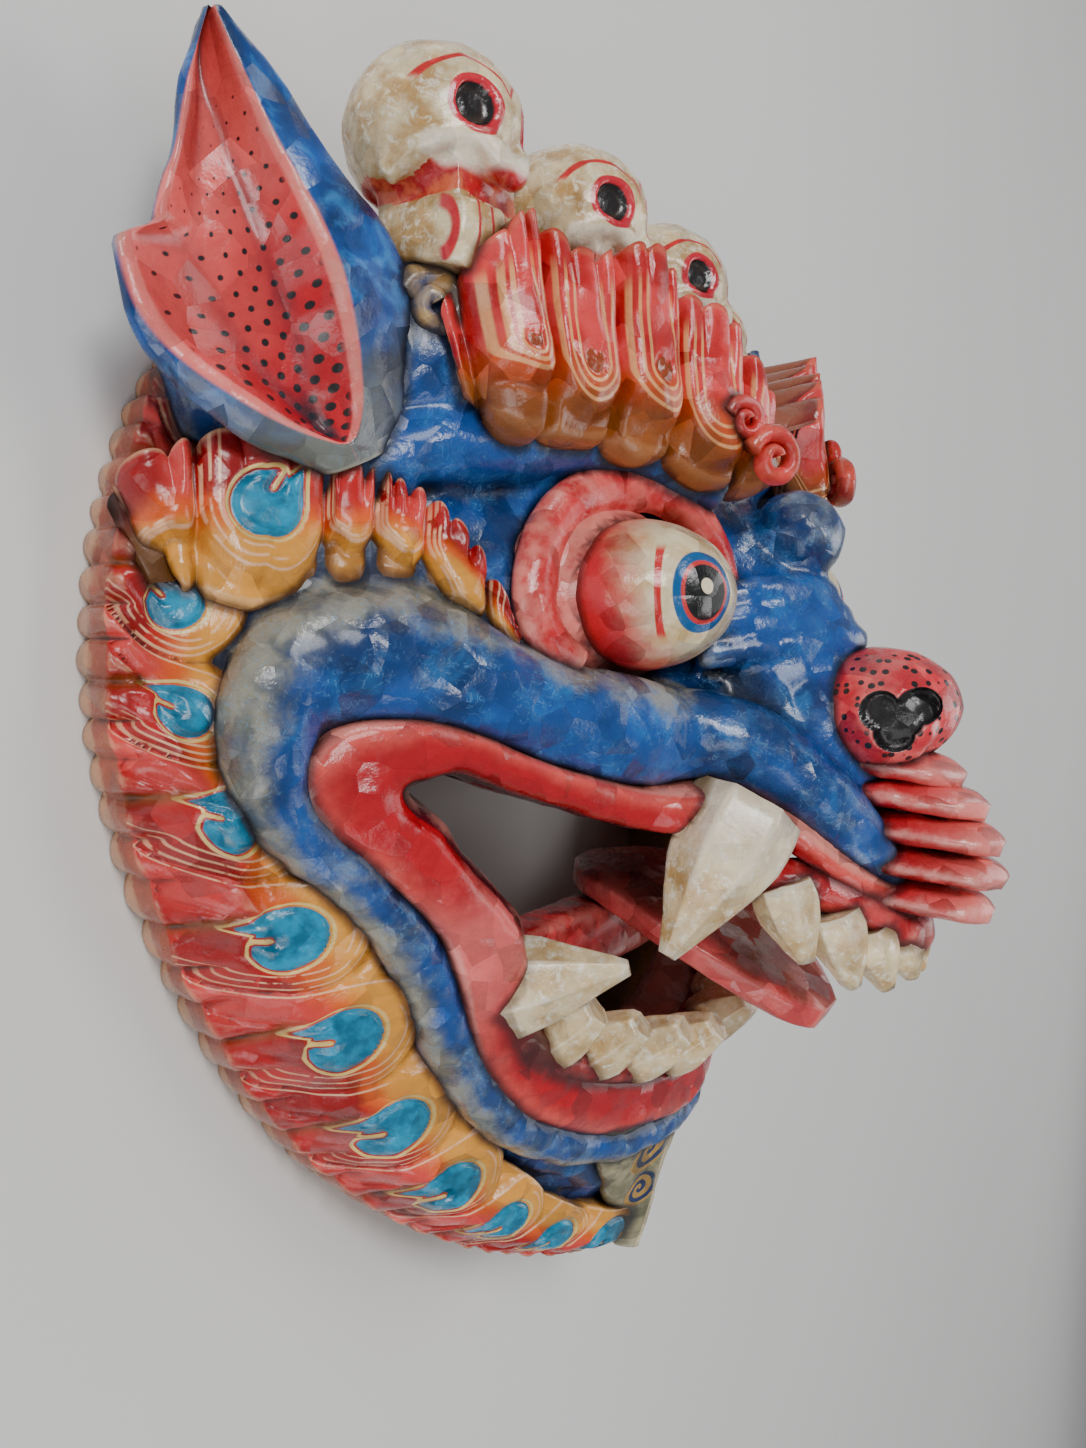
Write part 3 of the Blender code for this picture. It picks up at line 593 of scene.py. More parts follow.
def keep_field(mesh, name, values):
    """Keeps a number for each point, which the paint can read."""
    made = mesh.attributes.get(name) or mesh.attributes.new(name, "FLOAT", "POINT")
    made.data.foreach_set("value", np.ascontiguousarray(values, np.float32))


def keep_spot(mesh, points):
    made = mesh.attributes.get("spot") or mesh.attributes.new("spot", "FLOAT_VECTOR", "POINT")
    made.data.foreach_set("vector", np.ascontiguousarray(points, np.float32).ravel())


def neighbours_mean(mesh, values, rounds):
    """Each point's value, averaged again and again with its neighbours' values."""
    edges = np.empty(len(mesh.edges) * 2, np.int32)
    mesh.edges.foreach_get("vertices", edges)
    a, b = edges.reshape(-1, 2).T
    count = len(mesh.vertices)
    share = np.maximum(np.bincount(a, minlength=count) + np.bincount(b, minlength=count), 1)[:, None]
    values = values.copy()
    for _ in range(rounds):
        total = np.stack([
            np.bincount(a, column[b], count) + np.bincount(b, column[a], count) for column in values.T
        ], axis=1)
        values = 0.5 * values + 0.5 * total / share
    return values


def scooped(mesh, size, depth):
    """Hollows a mesh by shallow gouge cuts that meet in low ridges, and keeps it above the table."""
    points = points_of(mesh)
    reach = np.array([noise.voronoi(Vector(point) / size)[0][0] for point in points])
    points -= normals_of(mesh) * (depth * (1.0 - (reach / 0.7) ** 2))[:, None]
    points[:, 2] = np.maximum(points[:, 2], 0.0)
    put_points(mesh, points)


def finished(obj, material, replaced=(), rounds=24, gouge=None):
    """Gives a piece its gouge cuts and the fields that its paint reads, and lets it ride on the mask."""
    mesh = obj.data
    if gouge:
        scooped(mesh, *gouge)
    points = points_of(mesh)
    ridge = ((points - neighbours_mean(mesh, points, rounds)) * normals_of(mesh)).sum(1)
    keep_field(mesh, "ridge", ridge)
    if "near" not in mesh.attributes:
        keep_field(mesh, "near", np.full(len(points), 9.0))
    mesh.materials.clear()
    mesh.materials.append(material)
    mesh.polygons.foreach_set("use_smooth", np.ones(len(mesh.polygons), bool))
    mesh.transform(Matrix.Scale(MM, 4) @ Matrix.Translation((0.0, -CHIN_TO_MIDDLE, 0.0)))
    mesh.update()
    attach(obj, "root")
    if replaced:
        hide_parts(*replaced)
    return obj


# Head


class MaskHead(bpy.types.PropertyGroup):
    skin: bpy.props.FloatVectorProperty(
        name="Skin", description="Paint of the head", subtype="COLOR", size=3, min=0, max=1, default=(0.006, 0.075, 0.32))
    worn: bpy.props.FloatVectorProperty(
        name="Rubbed skin", description="Olive wash on the ridges", subtype="COLOR", size=3, min=0, max=1,
        default=(0.17, 0.175, 0.13))
    voxel: bpy.props.FloatProperty(
        name="Fineness", description="Size of the smallest step on the head", default=1.45, min=0.8, max=4.0)


def roll_side(points):
    """How far towards the outer side of the face roll a point lies, from -1 to 1, and -1 away from the roll."""
    path = smooth_path(across(FACE_ROLL), 8)
    tree = KDTree(len(path))
    for i, station in enumerate(path):
        tree.insert(station[:3], i)
    tree.balance()
    frames = section_frames(path)
    found = np.full(len(points), -1.0)
    for i, point in enumerate(points):
        near, number, distance = tree.find(point)
        half = path[number][3]
        if distance < half * 1.8:
            aside = (Vector(point) - near).dot(frames[number][1]) / half
            found[i] = blend(aside, -1.0, ease(distance / half - 0.8))
    return found


def skin_colour(finish):
    looks = bpy.context.scene.mask_head
    deep = [part * 0.45 for part in looks.skin]
    colour = finish.mix(finish.step(finish.noise(22.0, 2.0), 0.38, 0.60), deep, looks.skin)
    fleck = finish.noise(9.0, 3.0, 0.55, 0.5)
    colour = finish.mix(finish.step(fleck, 0.46, 0.74) * 0.5, colour, (0.025, 0.19, 0.52))
    broad = finish.field("broad")
    outer = finish.field("outer")
    patch = finish.noise(9.0, 4.0, 0.65)
    crest = finish.step(broad + (patch - 0.5) * 5.0, 2.4, 5.4) * 0.7
    wash = finish.step(outer + (patch - 0.5) * 1.3, 0.15, 0.85).most(crest)
    # Painted shade: the broad hollows of the head darkened towards a deep navy
    painted_valley_shade = finish.step(broad + (fleck - 0.5) * 1.2, -0.2, -3.0) * 0.75
    colour = finish.mix(painted_valley_shade, colour, [part * 0.12 for part in looks.skin])
    colour = finish.mix(wash * 0.85, colour, finish.mix(finish.step(fleck, 0.4, 0.6), looks.worn, (0.33, 0.30, 0.20)))
    scratch = finish.noise(5.0, 2.0, 0.5, 2.5)
    strokes = finish.line(scratch, 0.5, 0.012, 0.010) * finish.step(patch, 0.46, 0.56)
    colour = finish.mix(strokes * 0.35, colour, (0.16, 0.42, 0.70))
    wood = finish.field("wood")
    grain = finish.noise(3.0, 4.0, 0.6, where=finish.vector("MULTIPLY", finish.place(), (1.0, 0.12, 1.0)))
    brown = finish.mix(grain, (0.10, 0.052, 0.026), (0.26, 0.15, 0.08))
    return finish.mix(finish.step(wood, 0.4, 0.6), colour, brown)


class MASK_OT_head(bpy.types.Operator):
    """Carve the hollow head with its rolls, ridges and folds"""

    bl_idname = "mask.head"
    bl_label = "Head"

    def execute(self, context):
        looks = context.scene.mask_head
        bm = bmesh.new()
        dome(bm, room=7.0)
        for side in SIDES:
            for roll in (SNOUT_ROLL, BROW_RIDGE, EAR_ROOT):
                sweep(bm, on_side(roll, side))
        for band in (FACE_ROLL, FLAME_BED, CROWN_BAND, *BRIDGE_FOLDS):
            sweep(bm, across(band))
        sweep(bm, MUZZLE, sides=48)
        ellipsoid(bm, *FOREHEAD_BALL)
        obj = to_object("head", bm)
        one_skin(obj, looks.voxel, 3)
        outer = BVHTree.FromPolygons([v.co for v in obj.data.vertices], [p.vertices for p in obj.data.polygons])
        tools = []
        bm = bmesh.new()
        dome(bm, size=HOLLOW_SIZE, sink=WALL, bottom=-6.0)
        tools.append(to_object("hollow", bm))
        bm = bmesh.new()
        ellipsoid(bm, *MUZZLE_CAVITY)
        tools.append(to_object("muzzle_cavity", bm))
        bm = bmesh.new()
        mouth_cutter(bm)
        tools.append(to_object("mouth_opening", bm))
        bm = bmesh.new()
        block(bm, (0, 150, -20), (250, 250, 20))
        tools.append(to_object("back_plane", bm))
        cut_away(obj, *tools)
        mesh = obj.data
        points = points_of(mesh)
        wood = [1.0 if (outer.find_nearest(Vector(point))[3] or 0.0) > 0.6 else 0.0 for point in points]
        keep_field(mesh, "wood", wood)
        broad = ((points - neighbours_mean(mesh, points, 160)) * normals_of(mesh)).sum(1)
        keep_field(mesh, "broad", neighbours_mean(mesh, broad[:, None], 6)[:, 0])
        keep_field(mesh, "outer", roll_side(points))
        skin = painted("Blue paint", skin_colour, cell=6.5, wash=(0.004, 0.009, 0.025), wear=(0.34, 0.33, 0.24), worn=0.3)
        finished(obj, skin, ("mask_body",), gouge=(8.0, 0.5))
        return {"FINISHED"}


# Flames


def flame_shear(b):
    """How far the flames lean towards the crown, in flames, from the border's outer edge to its inner edge."""
    return 0.45 - 1.45 * b + 1.05 * b * b


def flame_fields(n, pitch, t, width, lean=1.0, discs=1.0, disc_at=DISC_DEPTH, disc_size=0.25, steep=1.0):
    """The carving of a row of flames, at a place n flames along and t millimetres in from the tips."""
    b = t / width
    leaning = n - flame_shear(b) * lean
    k = np.round(leaning)
    a = (leaning - k) * 2.0
    half = pitch / 2.0
    inward = t - disc_at * width
    ring = np.where(inward > 0, np.hypot(a * half, inward), np.abs(a) * half) / half
    radius = pitch * disc_size
    up = (n - k - flame_shear(disc_at) * lean) * pitch / radius
    out = -inward * steep / radius
    disc = 1.0 - np.hypot(out, up)
    lower = 0.40 + (out - 0.50) * 1.0
    tail = np.minimum(np.minimum(1.03 - up, up - lower), np.minimum(out, 1.2 - out))
    along = np.clip(((out - 0.45) * 0.85 + (up - 0.2) * 0.53), 0.0, 1.2)
    notch = np.hypot(out - 0.45 - along * 0.85, up - 0.2 - along * 0.53) - 0.13
    teal = np.minimum(np.maximum(disc, tail), notch) * radius
    teal = np.where(discs > 0.5, teal, -9.0)
    lobe_low, lobe_high = -0.31, 0.39
    middle = np.where(a > lobe_high, (1 + lobe_high) / 2, np.where(a > lobe_low, (lobe_low + lobe_high) / 2, (lobe_low - 1) / 2))
    size = np.where(a > lobe_high, (1 - lobe_high) / 2, np.where(a > lobe_low, (lobe_high - lobe_low) / 2, (1 + lobe_low) / 2))
    u = np.clip((a - middle) / size, -1.0, 1.0)
    rounded = np.sqrt(np.maximum(0.0, 1.0 - u * u))
    gap = np.exp(-(((n - k) * pitch - 0.30 * pitch) / 1.3) ** 2) * ease((0.36 - b) / 0.12) * lean
    groove = np.exp(-((a - lobe_high) * half / 1.1) ** 2) * ease((0.5 - b) / 0.3)
    bulge = np.sqrt(np.maximum(0.0, 1.0 - np.minimum(ring, 1.0) ** 2.5))
    relief = 3.2 * bulge + 1.4 * rounded * ease((0.4 - b) / 0.3) - 2.0 * gap - 1.3 * groove
    relief -= 2.5 * ease((ring - 1.0) / 0.25)
    relief += np.where(teal > 0, 1.4 * ease(teal / 1.6) - 0.9, -0.9 * np.exp(-(teal / 0.7) ** 2))
    return {
        "ring": ring, "size": half, "flow": a, "deep": b, "teal": teal, "gap": gap, "lobe": rounded, "relief": relief,
        "number": k,
    }


class MaskFlames(bpy.types.PropertyGroup):
    red: bpy.props.FloatVectorProperty(
        name="Flame tips", description="Paint of the tips", subtype="COLOR", size=3, min=0, max=1, default=(0.50, 0.008, 0.010))
    pink: bpy.props.FloatVectorProperty(
        name="Upper tips", description="Paint of each upper tip", subtype="COLOR", size=3, min=0, max=1,
        default=(0.68, 0.05, 0.045))
    gold: bpy.props.FloatVectorProperty(
        name="Flame roots", description="Paint of the round roots", subtype="COLOR", size=3, min=0, max=1,
        default=(0.80, 0.34, 0.045))
    line: bpy.props.FloatVectorProperty(
        name="Lines", description="Paint of the thin lines", subtype="COLOR", size=3, min=0, max=1,
        default=(0.92, 0.52, 0.30))
    disc: bpy.props.FloatVectorProperty(
        name="Discs", description="Paint of the discs", subtype="COLOR", size=3, min=0, max=1, default=(0.0, 0.14, 0.26))


def flame_colour(finish):
    looks = bpy.context.scene.mask_flames
    ring = finish.field("ring")
    size = finish.field("size")
    flow = finish.field("flow")
    deep = finish.field("deep")
    teal = finish.field("teal")
    wall = finish.field("wall")
    tint = finish.field("tint")
    warm = finish.step(deep + (finish.noise(9.0, 3.0) - 0.5) * 0.3, 0.24, 0.74)
    orange = (0.74, 0.10, 0.010)
    red = finish.mix(finish.step(finish.cells(9.0, output=1), 0.2, 0.8), looks.red, [part * 0.62 for part in looks.red])
    upper = finish.step(flow, 0.1, 0.5) * finish.step(tint, 0.15, 0.5)
    red = finish.mix(upper, red, looks.pink)
    colour = finish.mix(finish.step(warm, 0.0, 0.5), red, orange)
    colour = finish.mix(finish.step(warm, 0.45, 1.0), colour, looks.gold)
    lines = None
    for at, low, high in ((0.66, -2.0, 0.2), (0.80, -2.0, 0.35), (0.93, -2.0, 2.0)):
        one = finish.line(ring * size, size * at, 0.27) * (1.0 - finish.step(flow, high - 0.15, high))
        lines = one if lines is None else lines.most(one)
    lines = lines * finish.step(finish.noise(5.0, 3.0), 0.36, 0.44) * finish.step(teal, -0.9, -1.4)
    colour = finish.mix(lines * (finish.step(deep, 0.02, 0.3) * 0.4 + 0.5), colour, looks.line)
    colour = finish.mix(finish.line(teal, -0.75, 0.35), colour, (0.82, 0.55, 0.18))
    blue = finish.mix(finish.step(finish.noise(5.0, 3.0), 0.35, 0.65), looks.disc, (0.0, 0.30, 0.52))
    colour = finish.mix(finish.step(teal, -0.12, 0.12), colour, blue)
    # Painted shade: dark brown in the clefts between the flames
    colour = finish.mix(finish.field("gap") * 0.8, colour, (0.22, 0.075, 0.012))
    # Painted shade: the side walls of the border darker red-brown
    brown = finish.mix(finish.noise(6.0, 4.0), (0.20, 0.035, 0.02), (0.42, 0.10, 0.05))
    colour = finish.mix(finish.step(wall, 0.4, 0.7), colour, brown)
    wood = finish.mix(finish.noise(3.0, 4.0, 0.6), (0.10, 0.052, 0.026), (0.26, 0.15, 0.08))
    return finish.mix(finish.step(finish.field("wood"), 0.4, 0.6), colour, wood)


def ring_stations(columns):
    """Even stations round the border from the chin: place, inward direction and the flame's number there."""
    angles = np.linspace(0.0, math.tau, 5761)
    x, y = outline(BORDER, angles)
    lengths = np.concatenate([[0.0], np.cumsum(np.hypot(np.diff(x), np.diff(y)))])
    whole = lengths[-1]
    wanted = whole * np.arange(columns) / columns
    px, py = np.interp(wanted, lengths, x), np.interp(wanted, lengths, y)
    tx, ty = np.roll(px, -1) - np.roll(px, 1), np.roll(py, -1) - np.roll(py, 1)
    size = np.hypot(tx, ty)
    ix, iy = -ty / size, tx / size
    stops = []
    for disc_x, disc_y in DISCS:
        near = np.argmin(np.hypot(x[:2881] + disc_x, y[:2881] - disc_y))
        stops.append(lengths[near])
    while stops[-1] < whole / 2 + FLAME_PITCH:
        stops.append(stops[-1] + FLAME_PITCH)
    stops = np.array([-stops[0]] + stops)
    from_chin = np.minimum(wanted, whole - wanted)
    number = np.interp(from_chin, stops, np.arange(len(stops)))
    pitch = np.interp(from_chin, (stops[1:] + stops[:-1]) / 2, np.diff(stops))
    return px, py, ix, iy, number, pitch


def band_width(y):
    """The flame band is widest at the corner of the jaw, and narrows to the chin."""
    return 25.0 + 9.0 * np.exp(-((y - 105.0) / 38.0) ** 2) - 9.0 * np.exp(-(y / 28.0) ** 2)


def flame_grid(name, columns, rows, position, fields, closed=True):
    """A row of flames, made from a grid whose two sides meet behind, and in a ring its two ends as well."""
    bm = bmesh.new()
    steps = columns if closed else columns - 1
    bmesh.ops.create_grid(bm, x_segments=steps, y_segments=rows, size=1.0)
    obj = to_object(name, bm)
    mesh = obj.data
    raw = points_of(mesh)
    column = np.round((raw[:, 0] + 1) / 2 * steps).astype(int) % columns
    row = np.round((raw[:, 1] + 1) / 2 * rows).astype(int) % rows
    put_points(mesh, position[column, row])
    for key, values in fields.items():
        keep_field(mesh, key, values[column, row])
    bm = bmesh.new()
    bm.from_mesh(mesh)
    bmesh.ops.remove_doubles(bm, verts=bm.verts, dist=1e-4)
    face_outwards(bm, list(bm.verts))
    bm.to_mesh(mesh)
    bm.free()
    return obj


class MASK_OT_border(bpy.types.Operator):
    """Carve the ring of flames with its discs"""

    bl_idname = "mask.border"
    bl_label = "Flame border"

    def execute(self, context):
        columns, wall_rows, top_rows, back_rows = 1240, 8, 46, 5
        px, py, ix, iy, number, pitch = ring_stations(columns)
        crown = ease((py - BORDER[1] - 30.0) / 50.0)
        width = band_width(py)
        lift = np.where(py > BORDER[1], 0.0, 31.0 * np.maximum(0.0, 1.0 - np.abs(px) / 120.0) ** 1.4)
        rim = blend(9.0, 7.0, crown) + lift
        top = blend(25.0, 7.0, crown) + lift * 0.75
        b = np.linspace(0.0, 1.12, top_rows)[None, :]
        t = b * width[:, None]
        discs = (py < 214.0).astype(float)[:, None] * np.ones_like(t)
        base = blend(rim[:, None], top[:, None], b ** 1.6)
        slant = head_height(px + ix * width * 0.75, py + iy * width * 0.75) - head_height(px + ix * width * 0.3, py + iy * width * 0.3)
        steep = np.hypot(1.0, np.maximum(slant, (top - rim) * 0.5) / (width * 0.45))[:, None]
        whole = number[:, None] * np.ones_like(t)
        fields = flame_fields(whole, pitch[:, None], t, width[:, None], discs=discs, steep=np.minimum(steep, 1.5))
        retract = 3.6 * (1.0 - fields["lobe"][:, :1])
        inset = t + retract * ease((0.22 - b) / 0.22)
        head = head_height(px[:, None] + ix[:, None] * inset, py[:, None] + iy[:, None] * inset)
        head = blend(base, head, ease((195.0 - py) / 50.0)[:, None] * ease(b / 0.35))
        base = np.maximum(base, head) - 9.0 * ease((b - 1.0) / 0.12)
        strength = blend(1.0, 0.5, crown)[:, None]
        edge = np.exp(-(t / 1.2) ** 2)
        height = np.maximum(base + fields["relief"] * strength - 2.2 * edge, 0.6)
        rows = []
        names = ("ring", "flow", "deep", "teal", "gap")
        kept = {key: [] for key in names + ("size", "wall", "wood", "tint")}
        tint = np.mod(fields["number"] * 0.61803, 1.0)

        def add(depth, z, at, wall=0.0, wood=0.0):
            rows.append(np.stack([px + ix * depth, py + iy * depth, z], axis=1))
            for key in names:
                kept[key].append(fields[key][:, at])
            kept["size"].append(pitch / 2)
            kept["tint"].append(tint[:, at])
            kept["wall"].append(np.full(columns, wall))
            kept["wood"].append(np.full(columns, wood))

        for i in range(wall_rows):
            part = i / wall_rows
            add(retract[:, 0] + 1.5 * (1 - part) ** 2 + lift * (1 - part) * 0.2, height[:, 0] * part, 0, wall=1.0)
        for i in range(top_rows):
            add(inset[:, i], height[:, i], i)
        for i in range(back_rows):
            part = i / back_rows
            inner = inset[:, -1] + 2.0
            add(blend(inner, retract[:, 0] + 4.0, part), np.zeros(columns), top_rows - 1 if part < 0.5 else 0, wood=1.0)
        position = np.stack(rows, axis=1)
        kept = {key: np.stack(values, axis=1) for key, values in kept.items()}
        obj = flame_grid("flame_border", columns, position.shape[1], position, kept)
        paint = painted("Flame paint", flame_colour, cell=8.0, wash=(0.05, 0.012, 0.006), wear=(0.9, 0.62, 0.35), worn=0.35)
        finished(obj, paint, gouge=(7.0, 0.3))
        return {"FINISHED"}


def strip_columns(stations, steps):
    """Spreads a strip's stations (root x, y, z, tip x, y, z, flame number, height) into arrays."""
    path = np.array(smooth_path(stations, steps))
    return path[:, 0:3], path[:, 3:6], path[:, 6], path[:, 7]


def flame_strip(name, stations, steps=40, rows=44, side=-1, discs=(), cleft=0.0, scallop=0.0, **shape):
    """A row of flames on the head: its tips and roots stand up from the skin behind walls."""
    roots, tips, number, height = strip_columns(on_strip_side(stations, side), steps)
    width = np.linalg.norm(roots - tips, axis=1)
    inward = (roots - tips) / width[:, None]
    middle = (roots + tips) / 2
    ahead = np.gradient(middle, axis=0)
    out = np.cross(ahead, inward)
    out /= np.linalg.norm(out, axis=1)[:, None]
    out *= np.sign(out[:, 2:3])
    pitch = np.linalg.norm(ahead, axis=1) / np.maximum(np.abs(np.gradient(number)), 1e-6)
    b = np.linspace(0.0, 1.0, rows)[None, :]
    t = b * width[:, None]
    wide = np.ones_like(t)
    is_disc = sum((np.abs(number - disc) < 0.5).astype(float) for disc in discs) if discs else np.zeros(len(number))
    fields = flame_fields(number[:, None] * wide, pitch[:, None], t, width[:, None], discs=is_disc[:, None] * wide, **shape)
    ends = np.clip(np.minimum(np.arange(len(number)), len(number) - 1 - np.arange(len(number))) / 6.0, 0.0, 1.0)
    retract = 3.0 * (1.0 - fields["lobe"][:, :1])
    rise = height[:, None] * np.sqrt(ends)[:, None]
    round_root = np.sqrt(np.clip((1.0 - b) / 0.16, 0.0, 1.0))
    relief = rise * (0.55 + 0.45 * round_root) + fields["relief"] * np.sqrt(ends)[:, None]
    flow = np.abs(fields["flow"])
    relief -= cleft * np.exp(-(((1.0 - flow) * fields["size"]) / 1.4) ** 2) * np.sqrt(ends)[:, None]
    rounding = 1.0 - scallop * (1.0 - np.sqrt(np.maximum(0.0, 1.0 - flow ** 2))) * ease((b - 0.45) / 0.55)
    inset = t * rounding + retract * ease((0.2 - b) / 0.2)
    names = ("ring", "flow", "deep", "teal", "gap")
    kept = {key: [] for key in names + ("size", "wall", "wood", "tint")}
    tint = np.mod(fields["number"] * 0.61803 + 0.3, 1.0)
    rows_made = []

    def add(depth, lift, at, wall=0.0):
        rows_made.append(tips + inward * depth[:, None] + out * lift[:, None])
        for key in names:
            kept[key].append(fields[key][:, at])
        kept["size"].append(pitch / 2)
        kept["tint"].append(tint[:, at])
        kept["wall"].append(np.full(len(number), wall))
        kept["wood"].append(np.zeros(len(number)))

    below = np.full(len(number), -7.0)
    for part in (0.0, 0.25, 0.5, 0.75, 0.9):
        add(inset[:, 0] + 1.2 * (1 - part), blend(below, relief[:, 0] - 1.0, part), 0, wall=1.0)
    for i in range(rows):
        add(inset[:, i], relief[:, i], i)
    for part in (0.4, 0.8):
        add(inset[:, -1] + 0.5, blend(relief[:, -1], below, part), rows - 1)
    add(blend(inset[:, -1], inset[:, 0], 0.5), below, rows // 2)
    position = np.stack(rows_made, axis=1)
    position[..., 2] = np.maximum(position[..., 2], 0.4)
    kept = {key: np.stack(values, axis=1) for key, values in kept.items()}
    for end in (0, -1):
        position[end] = position[end].mean(axis=0)
    return flame_grid(name, len(number), position.shape[1], position, kept, closed=False)


def on_strip_side(stations, side):
    """A strip's stations, mirrored when side is 1."""
    return [(-side * s[0], s[1], s[2], -side * s[3], *s[4:]) for s in stations]


# The flames over the cheek roll: root x, y, z, tip x, y, z, flame number and height at each station
CHEEK_FLAMES = (
    (-148, 207, 14, -152, 222, 8, -1.4, 1.5), (-150, 206, 18, -150, 229, 10, -1.0, 4),
    (-147, 203, 20, -143, 233, 14, -0.5, 5), (-137, 201, 26, -131, 236, 20, 0.0, 5.5),
    (-125, 204, 32, -118, 232, 26, 0.5, 5.5), (-121, 205, 35, -114, 229, 30, 1.0, 5.5),
    (-116, 206, 38, -109, 228, 33, 1.5, 5), (-111, 206, 41, -106, 226, 36, 2.0, 5),
    (-106, 205, 44, -101, 224, 41, 2.5, 4.5), (-101, 203, 48, -97, 218, 45, 3.0, 4),
    (-94, 197, 53, -92, 209, 51, 3.5, 3), (-88, 189, 58, -88, 193, 57, 4.0, 1),
)
BROW_FLAMES = (
    (-100, 247, 52, -102, 262, 48, -0.6, 2), (-97, 242, 57, -99, 275, 50, -0.4, 8),
    (-88, 238, 60, -91, 283, 52, 0.25, 12), (-73, 239, 65, -75, 279, 60, 1.08, 10),
    (-58, 237, 71, -58, 284, 66, 1.93, 12), (-47, 236, 76, -45, 276, 71, 2.55, 9.5),
    (-37, 232, 82, -34, 273, 77, 3.1, 10), (-28, 231, 87, -25, 264, 82, 3.6, 9),
    (-20, 232, 90, -17, 254, 86, 4.0, 6),
)
# Spirals as their centre, size and thickness
BROW_CURLS = (((-31, 239, 99), 7.2, 2.7), ((-38, 248, 94), 5.0, 2.0))
CROWN_CURLS = (((-104, 266, 47), 7.0, 3.2), ((-94, 268, 50), 5.0, 2.6))


def brow_colour(finish):
    looks = bpy.context.scene.mask_flames
    ring = finish.field("ring")
    size = finish.field("size")
    flow = finish.field("flow")
    deep = finish.field("deep")
    wall = finish.field("wall")
    low = finish.step(deep + (finish.noise(9.0, 3.0) - 0.5) * 0.2, 0.45, 0.95)
    top = finish.mix(finish.step(finish.noise(12.0, 2.0), 0.4, 0.6), looks.red, (0.72, 0.05, 0.05))
    colour = finish.mix(finish.step(low, 0.0, 0.5), top, (0.55, 0.07, 0.012))
    colour = finish.mix(finish.step(low, 0.5, 1.0), colour, (0.27, 0.07, 0.010))
    lines = None
    for at in (0.42, 0.62, 0.82):
        one = finish.line(ring * size, size * at, 0.4)
        lines = one if lines is None else lines.most(one)
    lines = lines * finish.step(deep, 0.12, 0.25) * (1.0 - finish.step(deep, 0.93, 0.98))
    colour = finish.mix(lines * 0.8, colour, (0.86, 0.40, 0.16))
    colour = finish.mix(finish.step(finish.field("teal"), -0.12, 0.12), colour, (0.30, 0.05, 0.012))
    # Painted shade: the walls under the brow flames dark red-brown
    return finish.mix(finish.step(wall, 0.4, 0.7), colour, (0.20, 0.018, 0.012))


def scroll_colour(finish):
    return finish.mix(finish.step(finish.noise(7.0, 3.0), 0.4, 0.62), (0.40, 0.20, 0.045), (0.010, 0.045, 0.15))


def curl(bm, centre, size, thick, side, turns=1.35):
    """A carved spiral that faces out and to its side."""
    facing = Vector((side * 0.6, 0.0, 0.8))
    right = Vector((0.8, 0.0, -side * 0.6))
    middle = Vector((-side * centre[0], centre[1], centre[2]))
    stations = []
    for step in range(15):
        part = step / 14
        angle = -side * (math.pi * 0.9 - turns * math.tau * part) + (math.pi if side > 0 else 0.0)
        reach = size * (1.0 - 0.82 * part)
        spot = middle + right * (reach * math.cos(angle)) + CROWNWARD * (reach * math.sin(angle))
        stations.append((*spot, thick * (1.0 - 0.35 * part), thick * (1.0 + 0.3 * part)))
    sweep(bm, stations, sides=16, steps=5, facing=facing)


class MASK_OT_flames(bpy.types.Operator):
    """Carve the flames over the cheeks and over the brows"""

    bl_idname = "mask.flames"
    bl_label = "Cheek and brow flames"

    def execute(self, context):
        paint = bpy.data.materials["Flame paint"]
        gilt = painted("Scroll paint", scroll_colour, wash=(0.01, 0.02, 0.05), wear=(0.75, 0.5, 0.2), worn=0.5)
        brow = painted("Brow flame paint", brow_colour, cell=8.0, wash=(0.05, 0.012, 0.006), wear=(0.85, 0.45, 0.2), worn=0.15)
        for side in SIDES:
            label = "near" if side < 0 else "far"
            cheek = flame_strip("cheek_flames_" + label, CHEEK_FLAMES, side=side, discs=(0,), lean=0.0, disc_at=0.45,
                                cleft=1.5, scallop=0.1)
            finished(cheek, paint, gouge=(7.0, 0.25))
            over = flame_strip("brow_flames_" + label, BROW_FLAMES, side=side, discs=(0, 1, 2), lean=0.0, disc_at=0.6,
                               disc_size=0.13, cleft=4.0, scallop=0.08)
            finished(over, brow, gouge=(8.0, 0.3))
            bm = bmesh.new()
            for centre, size, thick in BROW_CURLS:
                curl(bm, centre, size, thick, side)
            curls = to_object("brow_curls_" + label, bm)
            keep_field(curls.data, "teal", np.full(len(curls.data.vertices), -9.0))
            finished(curls, brow, gouge=(5.0, 0.2))
            bm = bmesh.new()
            for centre, size, thick in CROWN_CURLS:
                curl(bm, centre, size, thick, side)
            finished(to_object("crown_scroll_" + label, bm), gilt, gouge=(5.0, 0.2))
        return {"FINISHED"}


# Mouth


class MaskMouth(bpy.types.PropertyGroup):
    lip: bpy.props.FloatVectorProperty(
        name="Lip edge", description="Paint along the lips' outer edge", subtype="COLOR", size=3, min=0, default=(0.72, 0.085, 0.07))
    gum: bpy.props.FloatVectorProperty(
        name="Gums", description="Paint of the gums and the mouth side of the lips", subtype="COLOR", size=3, min=0,
        max=1, default=(0.46, 0.004, 0.012))
    bone: bpy.props.FloatVectorProperty(
        name="Bone", description="Paint of the teeth and skulls", subtype="COLOR", size=3, min=0, max=1,
        default=(0.78, 0.62, 0.36))
    tongue: bpy.props.FloatVectorProperty(
        name="Tongue", description="Paint of the tongue", subtype="COLOR", size=3, min=0, max=1,
        default=(0.62, 0.085, 0.08))


